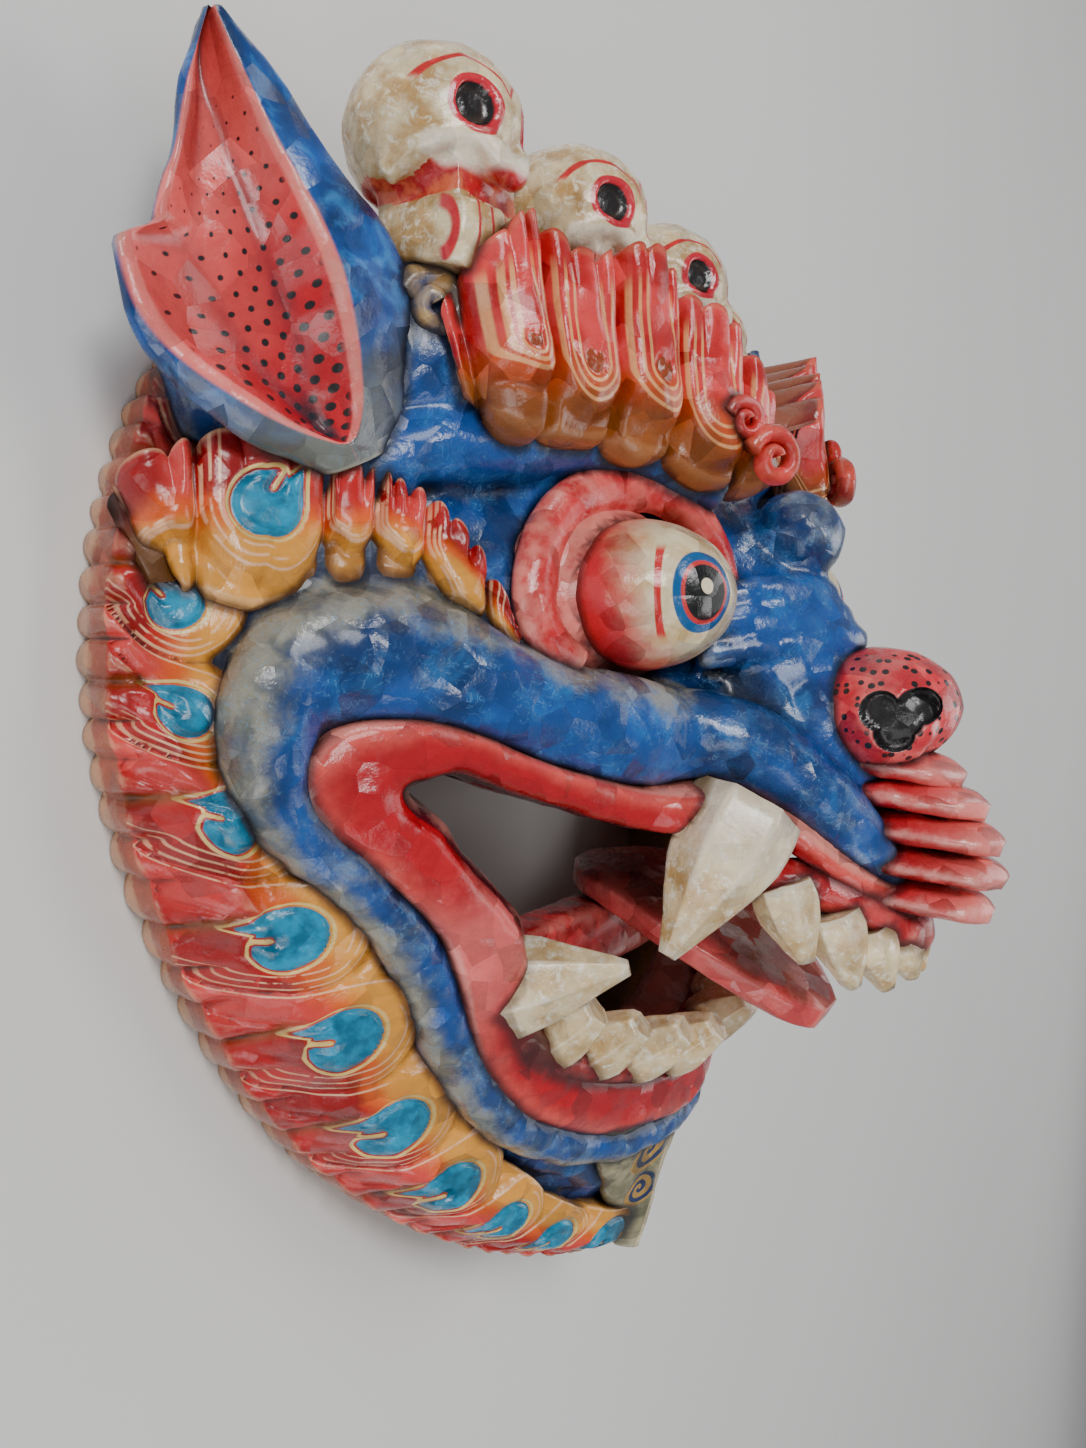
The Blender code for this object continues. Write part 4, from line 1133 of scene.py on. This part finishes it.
def lip_colour(finish):
    looks = bpy.context.scene.mask_mouth
    inner = finish.field("inner")
    patch = finish.noise(9.0, 4.0, 0.6) - 0.5
    colour = finish.mix(finish.step(inner + patch * 0.6, 0.05, 0.55), looks.lip, looks.gum)
    bright = finish.step(finish.field("salmon") + patch * 0.9, 0.35, 0.9)
    colour = finish.mix(bright * 0.75, colour, (0.82, 0.16, 0.15))
    # Painted highlight: a lighter coral along the lips' outer edge
    colour = finish.mix(finish.step(inner, 0.0, 0.07), (0.80, 0.22, 0.16), colour)
    return finish.mix(finish.step(inner, 1.02, 1.10), colour, (0.085, 0.003, 0.010))


def gum_colour(finish):
    looks = bpy.context.scene.mask_mouth
    return finish.mix(finish.step(finish.noise(7.0, 3.0), 0.4, 0.7), looks.gum, (0.66, 0.06, 0.06))


def bone_colour(finish):
    looks = bpy.context.scene.mask_mouth
    colour = finish.mix(finish.step(finish.noise(8.0, 4.0), 0.4, 0.68), looks.bone, (0.55, 0.34, 0.13))
    return finish.mix(finish.step(finish.noise(3.0, 4.0, 0.7), 0.5, 0.7), colour, (0.90, 0.84, 0.68))


def tongue_colour(finish):
    looks = bpy.context.scene.mask_mouth
    colour = finish.mix(finish.step(finish.noise(12.0, 3.0), 0.4, 0.65), looks.tongue, (0.76, 0.19, 0.16))
    edge = finish.step(abs(finish.field("aside")), 0.7, 1.0)
    return finish.mix(edge * 0.5, colour, (0.60, 0.04, 0.05))


def scale_colour(finish):
    return finish.mix(finish.step(finish.field("along"), 0.3, 0.95), (0.55, 0.02, 0.03), (0.85, 0.26, 0.22))


def mouth_lips(steps=9):
    """The lips, outside and in: a low swell, a dark bevel and the wall of the opening behind it."""
    whole = list(LIPS) + [(-s[0], s[1], s[2], -s[3], s[4], s[5]) for s in reversed(LIPS[1:-1])]
    path = np.array(smooth_path([whole[-1]] + whole + whole[:2], steps))[steps:steps * (len(whole) + 1)]
    middle = (path[:, :3] + path[:, 3:]) / 2
    half = (path[:, 3:] - path[:, :3]) / 2
    wide = np.linalg.norm(half, axis=1)[:, None]
    out = np.cross(np.roll(middle, -1, 0) - np.roll(middle, 1, 0), half)
    out *= np.sign(out[:, 2:3]) / np.linalg.norm(out, axis=1)[:, None]
    swell = [(u, LIP_HEIGHT * (1.0 - abs(u) ** 3.0) ** 0.5 - 0.8 * u, u * 0.5 + 0.5) for u in np.linspace(-1.0, 1.0, 33)]
    bevel = [(1.08, -2.0, 1.1), (1.2, -4.5, 1.3), (1.3, -7.0, 1.5)]
    wall = [(1.32, -7.0 - (LIP_WALL - 7.0) * part, 1.6) for part in (0.25, 0.5, 0.75, 1.0)]
    section = [(-1.0, -9.0, 0.0), (-1.0, -4.0, 0.0)] + swell + bevel + wall + [(0.5, -LIP_WALL, 1.6), (-0.3, -16.0, 1.6)]
    rows = [middle + half * reach + out * height for reach, height, _ in section]
    position = np.stack(rows, axis=1)
    inner = np.stack([np.full(len(path), tint) for _, _, tint in section], axis=1)
    salmon = np.exp(-(((np.abs(position[..., 0]) - 96.0) ** 2 + (position[..., 1] - 122.0) ** 2) / 24.0 ** 2))
    return flame_grid("lips", len(path), len(section), position, {"inner": inner, "salmon": salmon})


def pointed_tooth(bm, base, tip, radius, blunt=0.13, sides=7):
    """A chiselled tooth with flat cuts from its root to a blunt tip."""
    base, tip = Vector(base), Vector(tip)
    axis = tip - base
    matrix = Matrix.Translation(base) @ FRONT.rotation_difference(axis).to_matrix().to_4x4()
    tooth = bmesh.new()
    bmesh.ops.create_cone(
        tooth, cap_ends=True, cap_tris=True, segments=sides, radius1=radius, radius2=radius * blunt, depth=1.0)
    bmesh.ops.subdivide_edges(tooth, edges=list(tooth.edges), cuts=9, use_grid_fill=True)
    for vert in tooth.verts:
        part = vert.co.z + 0.5
        swell = 1.0 + 0.35 * math.sin(math.pi * min(1.0, part * 0.9)) - 0.12 * (1 - part)
        vert.co = matrix @ Vector((vert.co.x * swell, vert.co.y * swell, (part * 1.22 - 0.22) * axis.length))
    face_outwards(tooth, list(tooth.verts))
    mesh = bpy.data.meshes.new("tooth")
    tooth.to_mesh(mesh)
    tooth.free()
    bm.from_mesh(mesh)
    bpy.data.meshes.remove(mesh)


class MASK_OT_mouth(bpy.types.Operator):
    """Carve the lips, gums, teeth, fangs, tongue and the scales under the nose"""

    bl_idname = "mask.mouth"
    bl_label = "Mouth"

    def execute(self, context):
        lip = painted("Lip paint", lip_colour, cell=7.0, wash=(0.05, 0.006, 0.008), wear=(0.85, 0.35, 0.28), worn=0.4)
        gum = painted("Gum paint", gum_colour, cell=7.0, wash=(0.05, 0.006, 0.008), wear=(0.85, 0.35, 0.28), worn=0.4)
        bone = painted("Tooth paint", bone_colour, cell=6.0, wash=(0.22, 0.13, 0.06), wear=(0.95, 0.90, 0.76), worn=0.5, tilt=0.16)
        finished(mouth_lips(), lip, gouge=(8.0, 0.4))
        bm = bmesh.new()
        for band in (UPPER_GUM, LOWER_GUM):
            sweep(bm, across(band), sides=32, steps=10)
        sweep(bm, across(TONGUE_BED), sides=32, section=squared)
        finished(to_object("gums", bm), gum, gouge=(6.0, 0.35))
        bm = bmesh.new()
        for side in SIDES:
            for row, blunt in (((UPPER_FANG, LOWER_FANG), 0.13), (UPPER_TEETH, 0.22), (LOWER_TEETH, 0.45)):
                for base, tip, radius in row:
                    pointed_tooth(bm, *on_side((base, tip), side), radius, blunt)
        finished(to_object("teeth", bm), bone, gouge=(7.0, 0.4))
        bm = bmesh.new()
        sweep(bm, TONGUE, sides=64, steps=10, section=squared, facing=CROWNWARD)
        tongue = painted("Tongue paint", tongue_colour, cell=7.0, wash=(0.05, 0.006, 0.008), wear=(0.88, 0.4, 0.33), worn=0.3)
        finished(to_object("tongue_plank", bm), tongue, ("tongue",), gouge=(10.0, 0.3))
        bm = bmesh.new()
        for y, reach in SCALES:
            stations = (
                (0, y + 2, 108, 15, 4.5), (0, y + 1, (108 + reach) / 2, 16, 4.6), (0, y - 1, reach - 6, 12, 4.2),
                (0, y - 3, reach, 3, 2.2),
            )
            sweep(bm, stations, sides=40, steps=10, facing=CROWNWARD)
        scale = painted("Scale paint", scale_colour, cell=8.0, wash=(0.05, 0.006, 0.008), wear=(0.92, 0.5, 0.42), worn=0.5)
        finished(to_object("nose_scales", bm), scale, gouge=(7.0, 0.35))
        return {"FINISHED"}


# Face


def eye_colour(finish):
    aside, up, out = finish.spot()
    reach = finish.node("ShaderNodeMath", {"operation": "SQRT"}, {0: aside * aside + up * up})
    cream = finish.mix(finish.step(finish.noise(7.0, 4.0), 0.4, 0.7), (0.82, 0.70, 0.46), (0.66, 0.46, 0.20))
    rim = finish.field("rim") + (finish.noise(6.0, 3.0) - 0.5) * 0.25
    colour = finish.mix(finish.step(rim, 0.72, 1.08), cream, (0.66, 0.02, 0.03))
    stroke = finish.node("ShaderNodeMath", {"operation": "SQRT"}, {0: aside * aside + up * up * 0.75})
    stroke = finish.line(stroke, 12.8, 0.7) * finish.step(aside, -6.0, -7.5) * finish.step(abs(up), 11.5, 9.5)
    colour = finish.mix(stroke, colour, (0.62, 0.02, 0.02))
    for size, paint in ((9.6, (0.0, 0.10, 0.30)), (7.6, (0.62, 0.03, 0.03)), (6.6, (0.004, 0.004, 0.005))):
        colour = finish.mix(finish.step(reach, size + 0.15, size - 0.15), colour, paint)
    # Painted highlight: a small cream spot just above the middle of the pupil
    light = finish.node("ShaderNodeMath", {"operation": "SQRT"}, {0: aside * aside + (up - 1.5) * (up - 1.5)})
    return finish.mix(finish.step(light, 2.0, 1.8), colour, (0.85, 0.74, 0.5))


def socket_colour(finish):
    return finish.mix(finish.step(finish.noise(8.0, 3.0), 0.35, 0.65), (0.55, 0.014, 0.02), (0.74, 0.10, 0.09))


def nose_colour(finish):
    pink = finish.mix(finish.step(finish.noise(9.0, 3.0), 0.4, 0.6), (0.62, 0.02, 0.035), (0.80, 0.10, 0.10))
    dots = finish.step(finish.cells(3.1, randomness=0.5), 0.33, 0.28)
    colour = finish.mix(dots, pink, (0.012, 0.008, 0.01))
    return finish.mix(finish.step(finish.field("nostril"), -0.15, 0.15), colour, (0.008, 0.007, 0.008))


def beard_colour(finish):
    aside, up, out = finish.spot()
    olive = finish.mix(finish.step(finish.noise(7.0, 4.0), 0.4, 0.65), (0.16, 0.15, 0.09), (0.34, 0.30, 0.18))
    colour = olive
    for x, y, size in ((9.0, 40.0, 8.5), (6.5, 25.0, 6.0), (20.0, 50.0, 7.0)):
        dx, dy = abs(aside) - x, up - y
        reach = finish.node("ShaderNodeMath", {"operation": "SQRT"}, {0: dx * dx + dy * dy})
        turn = finish.node("ShaderNodeMath", {"operation": "ARCTAN2"}, {0: dy, 1: dx}) / math.tau
        spiral = (reach / (size * 0.52) + turn).part()
        inside = finish.step(reach, size, size - 0.4)
        band = finish.step(abs(spiral - 0.5), 0.30, 0.24)
        colour = finish.mix(inside, colour, finish.mix(band, (0.01, 0.03, 0.10), (0.42, 0.24, 0.06)))
    return finish.mix(finish.step(abs(aside), 1.6, 1.2), colour, (0.62, 0.52, 0.32))


class MASK_OT_face(bpy.types.Operator):
    """Carve the eyes with their rims, the dotted nose and the beard"""

    bl_idname = "mask.face"
    bl_label = "Eyes, nose and beard"

    def execute(self, context):
        eye = painted("Eye paint", eye_colour, cell=7.0, wash=(0.12, 0.02, 0.015), wear=(0.92, 0.84, 0.62), worn=0.2, tone=0.12)
        rim = painted("Eye rim paint", socket_colour, cell=8.0, wash=(0.03, 0.004, 0.006), wear=(0.86, 0.36, 0.28), worn=0.5)
        centre, radii = Vector(EYE[0]), Vector(EYE[1])
        for side in SIDES:
            label = "near" if side < 0 else "far"
            bm = bmesh.new()
            bmesh.ops.create_uvsphere(bm, u_segments=120, v_segments=90, radius=1.0)
            obj = to_object("eye_" + label, bm)
            unit = points_of(obj.data)
            turn = math.radians(EYE_TILT)
            local = unit * np.array(radii)
            look = PUPIL - centre
            axis = Vector((look.x / radii.x ** 2, 0.0, look.z / radii.z ** 2)).normalized()
            x = local[:, 0] * math.cos(-turn) + local[:, 2] * math.sin(-turn)
            z = -local[:, 0] * math.sin(-turn) + local[:, 2] * math.cos(-turn)
            world = np.stack([x + centre.x, local[:, 1] + centre.y, z + centre.z], axis=1)
            offset = world - np.array(PUPIL)
            aside = offset[:, 0] * axis.z - offset[:, 2] * axis.x
            out = offset[:, 0] * axis.x + offset[:, 2] * axis.z
            keep_spot(obj.data, np.stack([aside, offset[:, 1], out], axis=1))
            whole = world - np.array(centre)
            tangent = whole[:, 0] * axis.z - whole[:, 2] * axis.x
            keep_field(obj.data, "rim", np.hypot((tangent - 5.0) / 26.0, (whole[:, 1] - 2.0) / 21.0))
            world[:, 0] *= -side
            put_points(obj.data, world)
            bm = bmesh.new()
            bm.from_mesh(obj.data)
            face_outwards(bm, list(bm.verts))
            bm.to_mesh(obj.data)
            bm.free()
            finished(obj, eye, gouge=(9.0, 0.25))
            bm = bmesh.new()
            sweep(bm, on_side(SOCKET_RIM, side), sides=28, steps=8)
            ellipsoid(bm, Vector((side * 55.0, 205.0, 54.0)), (37.0, 26.0, 21.0), turn=side * EYE_TILT)
            finished(to_object("eye_rim_" + label, bm), rim, gouge=(8.0, 0.25))
        bm = bmesh.new()
        ellipsoid(bm, *NOSE, around=64)
        for side in SIDES:
            ellipsoid(bm, (side * 11.0, 173.0, 122.0), (11.0, 13.0, 15.0), around=48)
        obj = to_object("nose", bm)
        one_skin(obj, 0.8, 3)
        points = points_of(obj.data)
        hollow = np.full(len(points), -1.0)
        for forward, up, size in NOSTRIL:
            spot = 1.0 - np.hypot(points[:, 2] - forward, points[:, 1] - up) / size
            hollow = np.maximum(hollow, np.where(np.abs(points[:, 0]) > 8.0, spot, -1.0))
        points[:, 0] -= np.sign(points[:, 0]) * 3.0 * ease(hollow / 0.25)
        put_points(obj.data, points)
        keep_field(obj.data, "nostril", hollow * 6.0)
        nose = painted("Nose paint", nose_colour, cell=8.0, wash=(0.04, 0.006, 0.008), wear=(0.9, 0.4, 0.34), worn=0.3)
        finished(obj, nose, gouge=(8.0, 0.3))
        bm = bmesh.new()
        sweep(bm, BEARD, sides=64, steps=12)
        obj = to_object("beard", bm)
        points = points_of(obj.data)
        points[:, 2] += 3.0 * np.exp(-(points[:, 0] / 4.0) ** 2) + 1.2
        put_points(obj.data, points)
        keep_spot(obj.data, points)
        beard = painted("Beard paint", beard_colour, cell=7.0, wash=(0.02, 0.02, 0.03), wear=(0.55, 0.48, 0.32), worn=0.5)
        finished(obj, beard, gouge=(7.0, 0.3))
        return {"FINISHED"}


# Ears


def ear_colour(finish):
    looks = bpy.context.scene.mask_head
    inside = finish.field("leaf")
    up = finish.field("along")
    aside = finish.field("leafward")
    front = finish.field("front")
    blue = finish.mix(finish.step(finish.noise(14.0, 3.0), 0.38, 0.62), [part * 0.35 for part in looks.skin], looks.skin)
    blue = finish.mix(finish.step(finish.noise(7.0, 4.0, 0.6, 0.6), 0.5, 0.72) * 0.6, blue, (0.05, 0.26, 0.62))
    olive = finish.step(up + (finish.noise(16.0, 3.0) - 0.5) * 0.4, 0.42, 0.12)
    blue = finish.mix(olive * 0.8, blue, looks.worn)
    red = finish.mix(finish.step(up + aside * -0.3 + (finish.noise(14.0, 3.0) - 0.5) * 0.3, 0.35, 0.85), (0.52, 0.006, 0.016), (0.76, 0.10, 0.09))
    across_count = 13.0
    along_count = 30.0
    row = (up * along_count).whole()
    shift = (row * 0.5).part()
    dx = ((aside * across_count * 0.5 + shift).part() - 0.5) / (across_count * 0.5)
    dy = ((up * along_count).part() - 0.5) / along_count
    reach = finish.node("ShaderNodeMath", {"operation": "SQRT"}, {0: dx * dx * 625.0 + dy * dy * 9000.0})
    grow = (1.0 - up) * 1.15 + aside * 0.35 + 0.05
    dots = finish.step(reach, grow * 1.05 + 0.12, grow * 1.05 - 0.12) * finish.step(inside, 0.10, 0.16)
    dots = dots * finish.step(up, 0.86, 0.80)
    red = finish.mix(dots, red, (0.012, 0.008, 0.01))
    pink = (0.82, 0.17, 0.15)
    colour = finish.mix(finish.step(inside, -0.02, 0.02) * front, blue, pink)
    return finish.mix(finish.step(inside, 0.10, 0.13) * front, colour, red)


class MASK_OT_ears(bpy.types.Operator):
    """Carve the two ears as thin hollow leaves"""

    bl_idname = "mask.ears"
    bl_label = "Ears"

    def execute(self, context):
        paint = painted("Ear paint", ear_colour, cell=9.0, wash=(0.01, 0.012, 0.03), wear=(0.5, 0.46, 0.33), worn=0.35)
        for side in SIDES:
            label = "near" if side < 0 else "far"
            facing = Vector((-side * EAR_FACING.x, EAR_FACING.y, EAR_FACING.z))
            bm = bmesh.new()
            sweep(bm, on_side(EAR, side), sides=96, steps=14, facing=facing)
            obj = to_object("ear_" + label, bm)
            mesh = obj.data
            points = points_of(mesh)
            up = np.array([item.value for item in mesh.attributes["along"].data])
            aside = np.array([item.value for item in mesh.attributes["aside"].data]) * -side
            front = (normals_of(mesh) @ np.array(facing) > 0.05).astype(float)
            half = 0.66 * np.sin(math.pi * np.clip((up - 0.10) / 0.92, 0.0, 1.0)) ** 0.45
            middle = blend(-0.18, -0.44, up)
            leaf = half - np.abs(aside - middle)
            keep_field(mesh, "leaf", leaf)
            keep_field(mesh, "leafward", aside)
            keep_field(mesh, "front", front)
            bowl = 8.0 * ease(leaf / 0.45)
            lobe = 7.0 * ease((0.60 - up) / 0.035) * ease((up - 0.15) / 0.3) * ease((-aside - 0.45) / 0.4)
            leafward = np.array(facing.cross(CROWNWARD).normalized()) * -side
            put_points(mesh, points - np.array(facing) * bowl[:, None] + leafward * lobe[:, None])
            finished(obj, paint, ("ear_left" if side < 0 else "ear_right",), gouge=(9.0, 0.3))
        return {"FINISHED"}


# Skulls


def skull_colour(finish):
    aside, up, out = finish.spot()
    looks = bpy.context.scene.mask_mouth
    bone = finish.mix(finish.step(finish.noise(8.0, 4.0), 0.40, 0.62), looks.bone, (0.50, 0.29, 0.10))
    bone = finish.mix(finish.step(finish.noise(2.6, 4.0, 0.7, 0.8), 0.5, 0.68) * 0.8, bone, (0.92, 0.86, 0.70))
    band = finish.field("band")
    red = finish.mix(finish.step(finish.noise(5.0, 3.0), 0.42, 0.6), (0.50, 0.012, 0.02), (0.78, 0.14, 0.06))
    colour = finish.mix(finish.step(band, 0.4, 0.6), bone, red)
    cheek = finish.field("cheek")
    colour = finish.mix(finish.step(cheek, 0.3, 0.7) * 0.7, colour, (0.90, 0.84, 0.68))
    dx, dy = (abs(aside) - 9.0), (up - 29.0) * 0.92
    reach = finish.node("ShaderNodeMath", {"operation": "SQRT"}, {0: dx * dx + dy * dy})
    ahead = finish.step(out, 2.0, 4.0)
    colour = finish.mix(finish.step(reach, 5.9, 5.6) * ahead, colour, (0.58, 0.012, 0.03))
    colour = finish.mix(finish.step(reach, 4.1, 3.8) * ahead, colour, (0.008, 0.006, 0.006))
    brow = finish.node("ShaderNodeMath", {"operation": "SQRT"}, {0: dx * dx + (up - 27.0) * (up - 27.0) * 0.8})
    brow = finish.line(brow, 10.5, 0.4) * finish.step(up, 32.0, 34.0) * ahead
    colour = finish.mix(brow, colour, (0.60, 0.02, 0.02))
    teeth = finish.line((abs(aside) / 5.0).part(), 0.5, 0.09, 0.03) * finish.step(up, 13.5, 12.5) * finish.step(out, 8.0, 10.0)
    return finish.mix(teeth, colour, (0.55, 0.02, 0.03))


class MASK_OT_skulls(bpy.types.Operator):
    """Carve the five small skulls of the crown"""

    bl_idname = "mask.skulls"
    bl_label = "Skulls"

    def execute(self, context):
        paint = painted("Skull paint", skull_colour, cell=6.0, wash=(0.16, 0.08, 0.03), wear=(0.95, 0.90, 0.75), worn=0.5, tilt=0.18)
        for number, seat in enumerate(SKULL_SEATS, start=1):
            seat = Vector(seat)
            bm = bmesh.new()
            ellipsoid(bm, seat + Vector((0, 29, -1)), (20, 18.5, 20.5), around=64)
            block(bm, seat + Vector((0, 13, 2)), (11.5, 6, 11))
            sweep(bm, [seat_place(seat, item) for item in ((0, -1, 2, 12.5, 12), (0, 5, 3, 13.5, 13), (0, 11, 3, 12.5, 12.5))],
                  sides=48, steps=6, section=squared, facing=FRONT)
            cheeks = ((-17, 16, -2, 3, 3), (-14, 22, 9, 3.6, 3), (-8, 24, 15, 3.2, 3), (-3, 19, 18, 3, 3), (0, 17, 18.5, 3, 3))
            sweep(bm, [seat_place(seat, item) for item in across(cheeks)], sides=20, steps=6)
            obj = to_object("crown_skull_%d" % number, bm)
            one_skin(obj, 0.85, 3)
            mesh = obj.data
            points = points_of(mesh)
            local = points - np.array(seat)
            reach = np.hypot(np.abs(local[:, 0]) - 9.0, (local[:, 1] - 29.0) * 0.92)
            points[:, 2] -= 2.5 * ease((4.6 - reach) / 1.5) * (local[:, 2] > 4.0)
            put_points(mesh, points)
            keep_spot(mesh, local)
            keep_field(mesh, "band", (local[:, 1] < 18.0) * (local[:, 1] > 12.0) * (np.abs(local[:, 0]) < 14.0) * 1.0)
            keep_field(mesh, "cheek", ease((local[:, 2] - 5.0) / 5.0) * np.exp(-((local[:, 1] - 20.0) / 3.5) ** 2))
            finished(obj, paint, ("skull_%d" % number,), gouge=(6.0, 0.4))
        return {"FINISHED"}


def seat_place(seat, item):
    return (item[0] + seat.x, item[1] + seat.y, item[2] + seat.z, *item[3:])


# Creases

CREASE_REACH = 3.2


class MASK_OT_creases(bpy.types.Operator):
    """Find the creases where carved forms meet, for the painted shade there"""

    bl_idname = "mask.creases"
    bl_label = "Creases"

    def execute(self, context):
        pieces = [o for o in bpy.data.objects if o.type == "MESH" and "near" in o.data.attributes]
        trees = {}
        boxes = {}
        for obj in pieces:
            points = points_of(obj.data)
            trees[obj.name] = BVHTree.FromPolygons(points.tolist(), [p.vertices for p in obj.data.polygons])
            boxes[obj.name] = (points.min(0) - CREASE_REACH * MM, points.max(0) + CREASE_REACH * MM)
        for obj in pieces:
            points = points_of(obj.data)
            near = np.full(len(points), 9.0)
            for other in pieces:
                if other is obj:
                    continue
                low, high = boxes[other.name]
                tree = trees[other.name]
                for i in np.nonzero(((points > low) & (points < high)).all(axis=1))[0]:
                    found = tree.find_nearest(points[i], CREASE_REACH * MM)
                    if found[3] is not None:
                        near[i] = min(near[i], found[3] / MM)
            # Distance to the nearest other piece, read by the paint as painted shade
            keep_field(obj.data, "near", near)
        return {"FINISHED"}


# Stage


class MaskStage(bpy.types.PropertyGroup):
    floor: bpy.props.FloatVectorProperty(
        name="Floor", description="Colour of the floor", subtype="COLOR", size=3, min=0, max=1, default=(0.80, 0.79, 0.77))
    light: bpy.props.FloatProperty(
        name="Light", description="Strength of the soft light", default=1.0, min=0.0, max=10.0)


# The camera's place in millimetres from the chin, its turn about the mask in degrees and its lens
CAMERA_PLACE = (-305.1, 197.2, 190.6)
CAMERA_TURN = math.radians(60.0)
CAMERA_RISE = math.radians(5.0)
LENS_PIXELS = 1110.0
PICTURE = (1086, 1448)
SENSOR = 36.0


class MASK_OT_stage(bpy.types.Operator):
    """Set the floor, the soft lights and the camera"""

    bl_idname = "mask.stage"
    bl_label = "Floor, lights and camera"

    def execute(self, context):
        looks = context.scene.mask_stage
        bm = bmesh.new()
        bmesh.ops.create_grid(bm, x_segments=8, y_segments=8, size=15.0)
        floor = to_object("floor", bm)
        floor.data.transform(Matrix.Translation((0, 0, -0.0004)))
        finish = Finish("Pale floor")
        finish.put(finish.shader.inputs["Base Color"], finish.bright(finish.mix(0.0, looks.floor, looks.floor), finish.noise(300.0) * 0.06 + 0.97))
        finish.put(finish.shader.inputs["Roughness"], 0.7)
        floor.data.materials.append(finish.material)
        back = Vector((-math.sin(CAMERA_TURN) * math.cos(CAMERA_RISE), math.sin(CAMERA_RISE), math.cos(CAMERA_TURN) * math.cos(CAMERA_RISE)))
        right = CROWNWARD.cross(back).normalized()
        up = back.cross(right)
        data = bpy.data.cameras.new("camera")
        data.sensor_width = SENSOR
        data.lens = SENSOR * LENS_PIXELS / PICTURE[1]
        data.clip_start = 0.01
        camera = bpy.data.objects.new("camera", data)
        context.scene.collection.objects.link(camera)
        matrix = Matrix((right, up, back)).transposed().to_4x4()
        matrix.translation = (Vector(CAMERA_PLACE) - Vector((0, CHIN_TO_MIDDLE, 0))) * MM
        camera.matrix_world = matrix
        context.scene.camera = camera
        for name, place, size, power in (
            ("key_light", (-0.9, 0.9, 1.3), 0.55, 19.0), ("side_light", (-1.2, -0.7, 0.8), 0.8, 7.0),
            ("far_light", (2.6, 0.2, 2.6), 2.4, 46.0),
        ):
            lamp = bpy.data.lights.new(name, "AREA")
            lamp.energy = power * looks.light
            lamp.size = size
            holder = bpy.data.objects.new(name, lamp)
            holder.location = place
            holder.rotation_euler = (-Vector(place)).to_track_quat("-Z", "Y").to_euler()
            context.scene.collection.objects.link(holder)
        world = bpy.data.worlds.new("Soft room")
        context.scene.world = world
        world.use_nodes = True
        world.node_tree.nodes["Background"].inputs["Color"].default_value = (0.9, 0.92, 0.95, 1.0)
        world.node_tree.nodes["Background"].inputs["Strength"].default_value = 0.30 * looks.light
        return {"FINISHED"}


# Panel

GROUPS = (
    ("mask_head", MaskHead), ("mask_flames", MaskFlames), ("mask_mouth", MaskMouth), ("mask_stage", MaskStage),
)
OPERATORS = (
    MASK_OT_head, MASK_OT_border, MASK_OT_flames, MASK_OT_mouth, MASK_OT_face, MASK_OT_ears, MASK_OT_skulls,
    MASK_OT_creases, MASK_OT_stage,
)


class MASK_PT_sidebar(bpy.types.Panel):
    bl_label = "Dragon mask"
    bl_idname = "MASK_PT_sidebar"
    bl_space_type = "VIEW_3D"
    bl_region_type = "UI"
    bl_category = "Dragon mask"

    def draw(self, context):
        for name, group in GROUPS:
            box = self.layout.box()
            for key in group.__annotations__:
                box.prop(getattr(context.scene, name), key)
        for operator in OPERATORS:
            self.layout.operator(operator.bl_idname)


def register():
    for name, group in GROUPS:
        bpy.utils.register_class(group)
        setattr(bpy.types.Scene, name, bpy.props.PointerProperty(type=group))
    for item in (*OPERATORS, MASK_PT_sidebar):
        bpy.utils.register_class(item)


def unregister():
    for item in reversed((*OPERATORS, MASK_PT_sidebar)):
        bpy.utils.unregister_class(item)
    for name, group in reversed(GROUPS):
        delattr(bpy.types.Scene, name)
        bpy.utils.unregister_class(group)


def main():
    register()
    for operator in OPERATORS:
        getattr(bpy.ops.mask, operator.bl_idname.split(".")[1])()


if __name__ == "__main__":
    main()
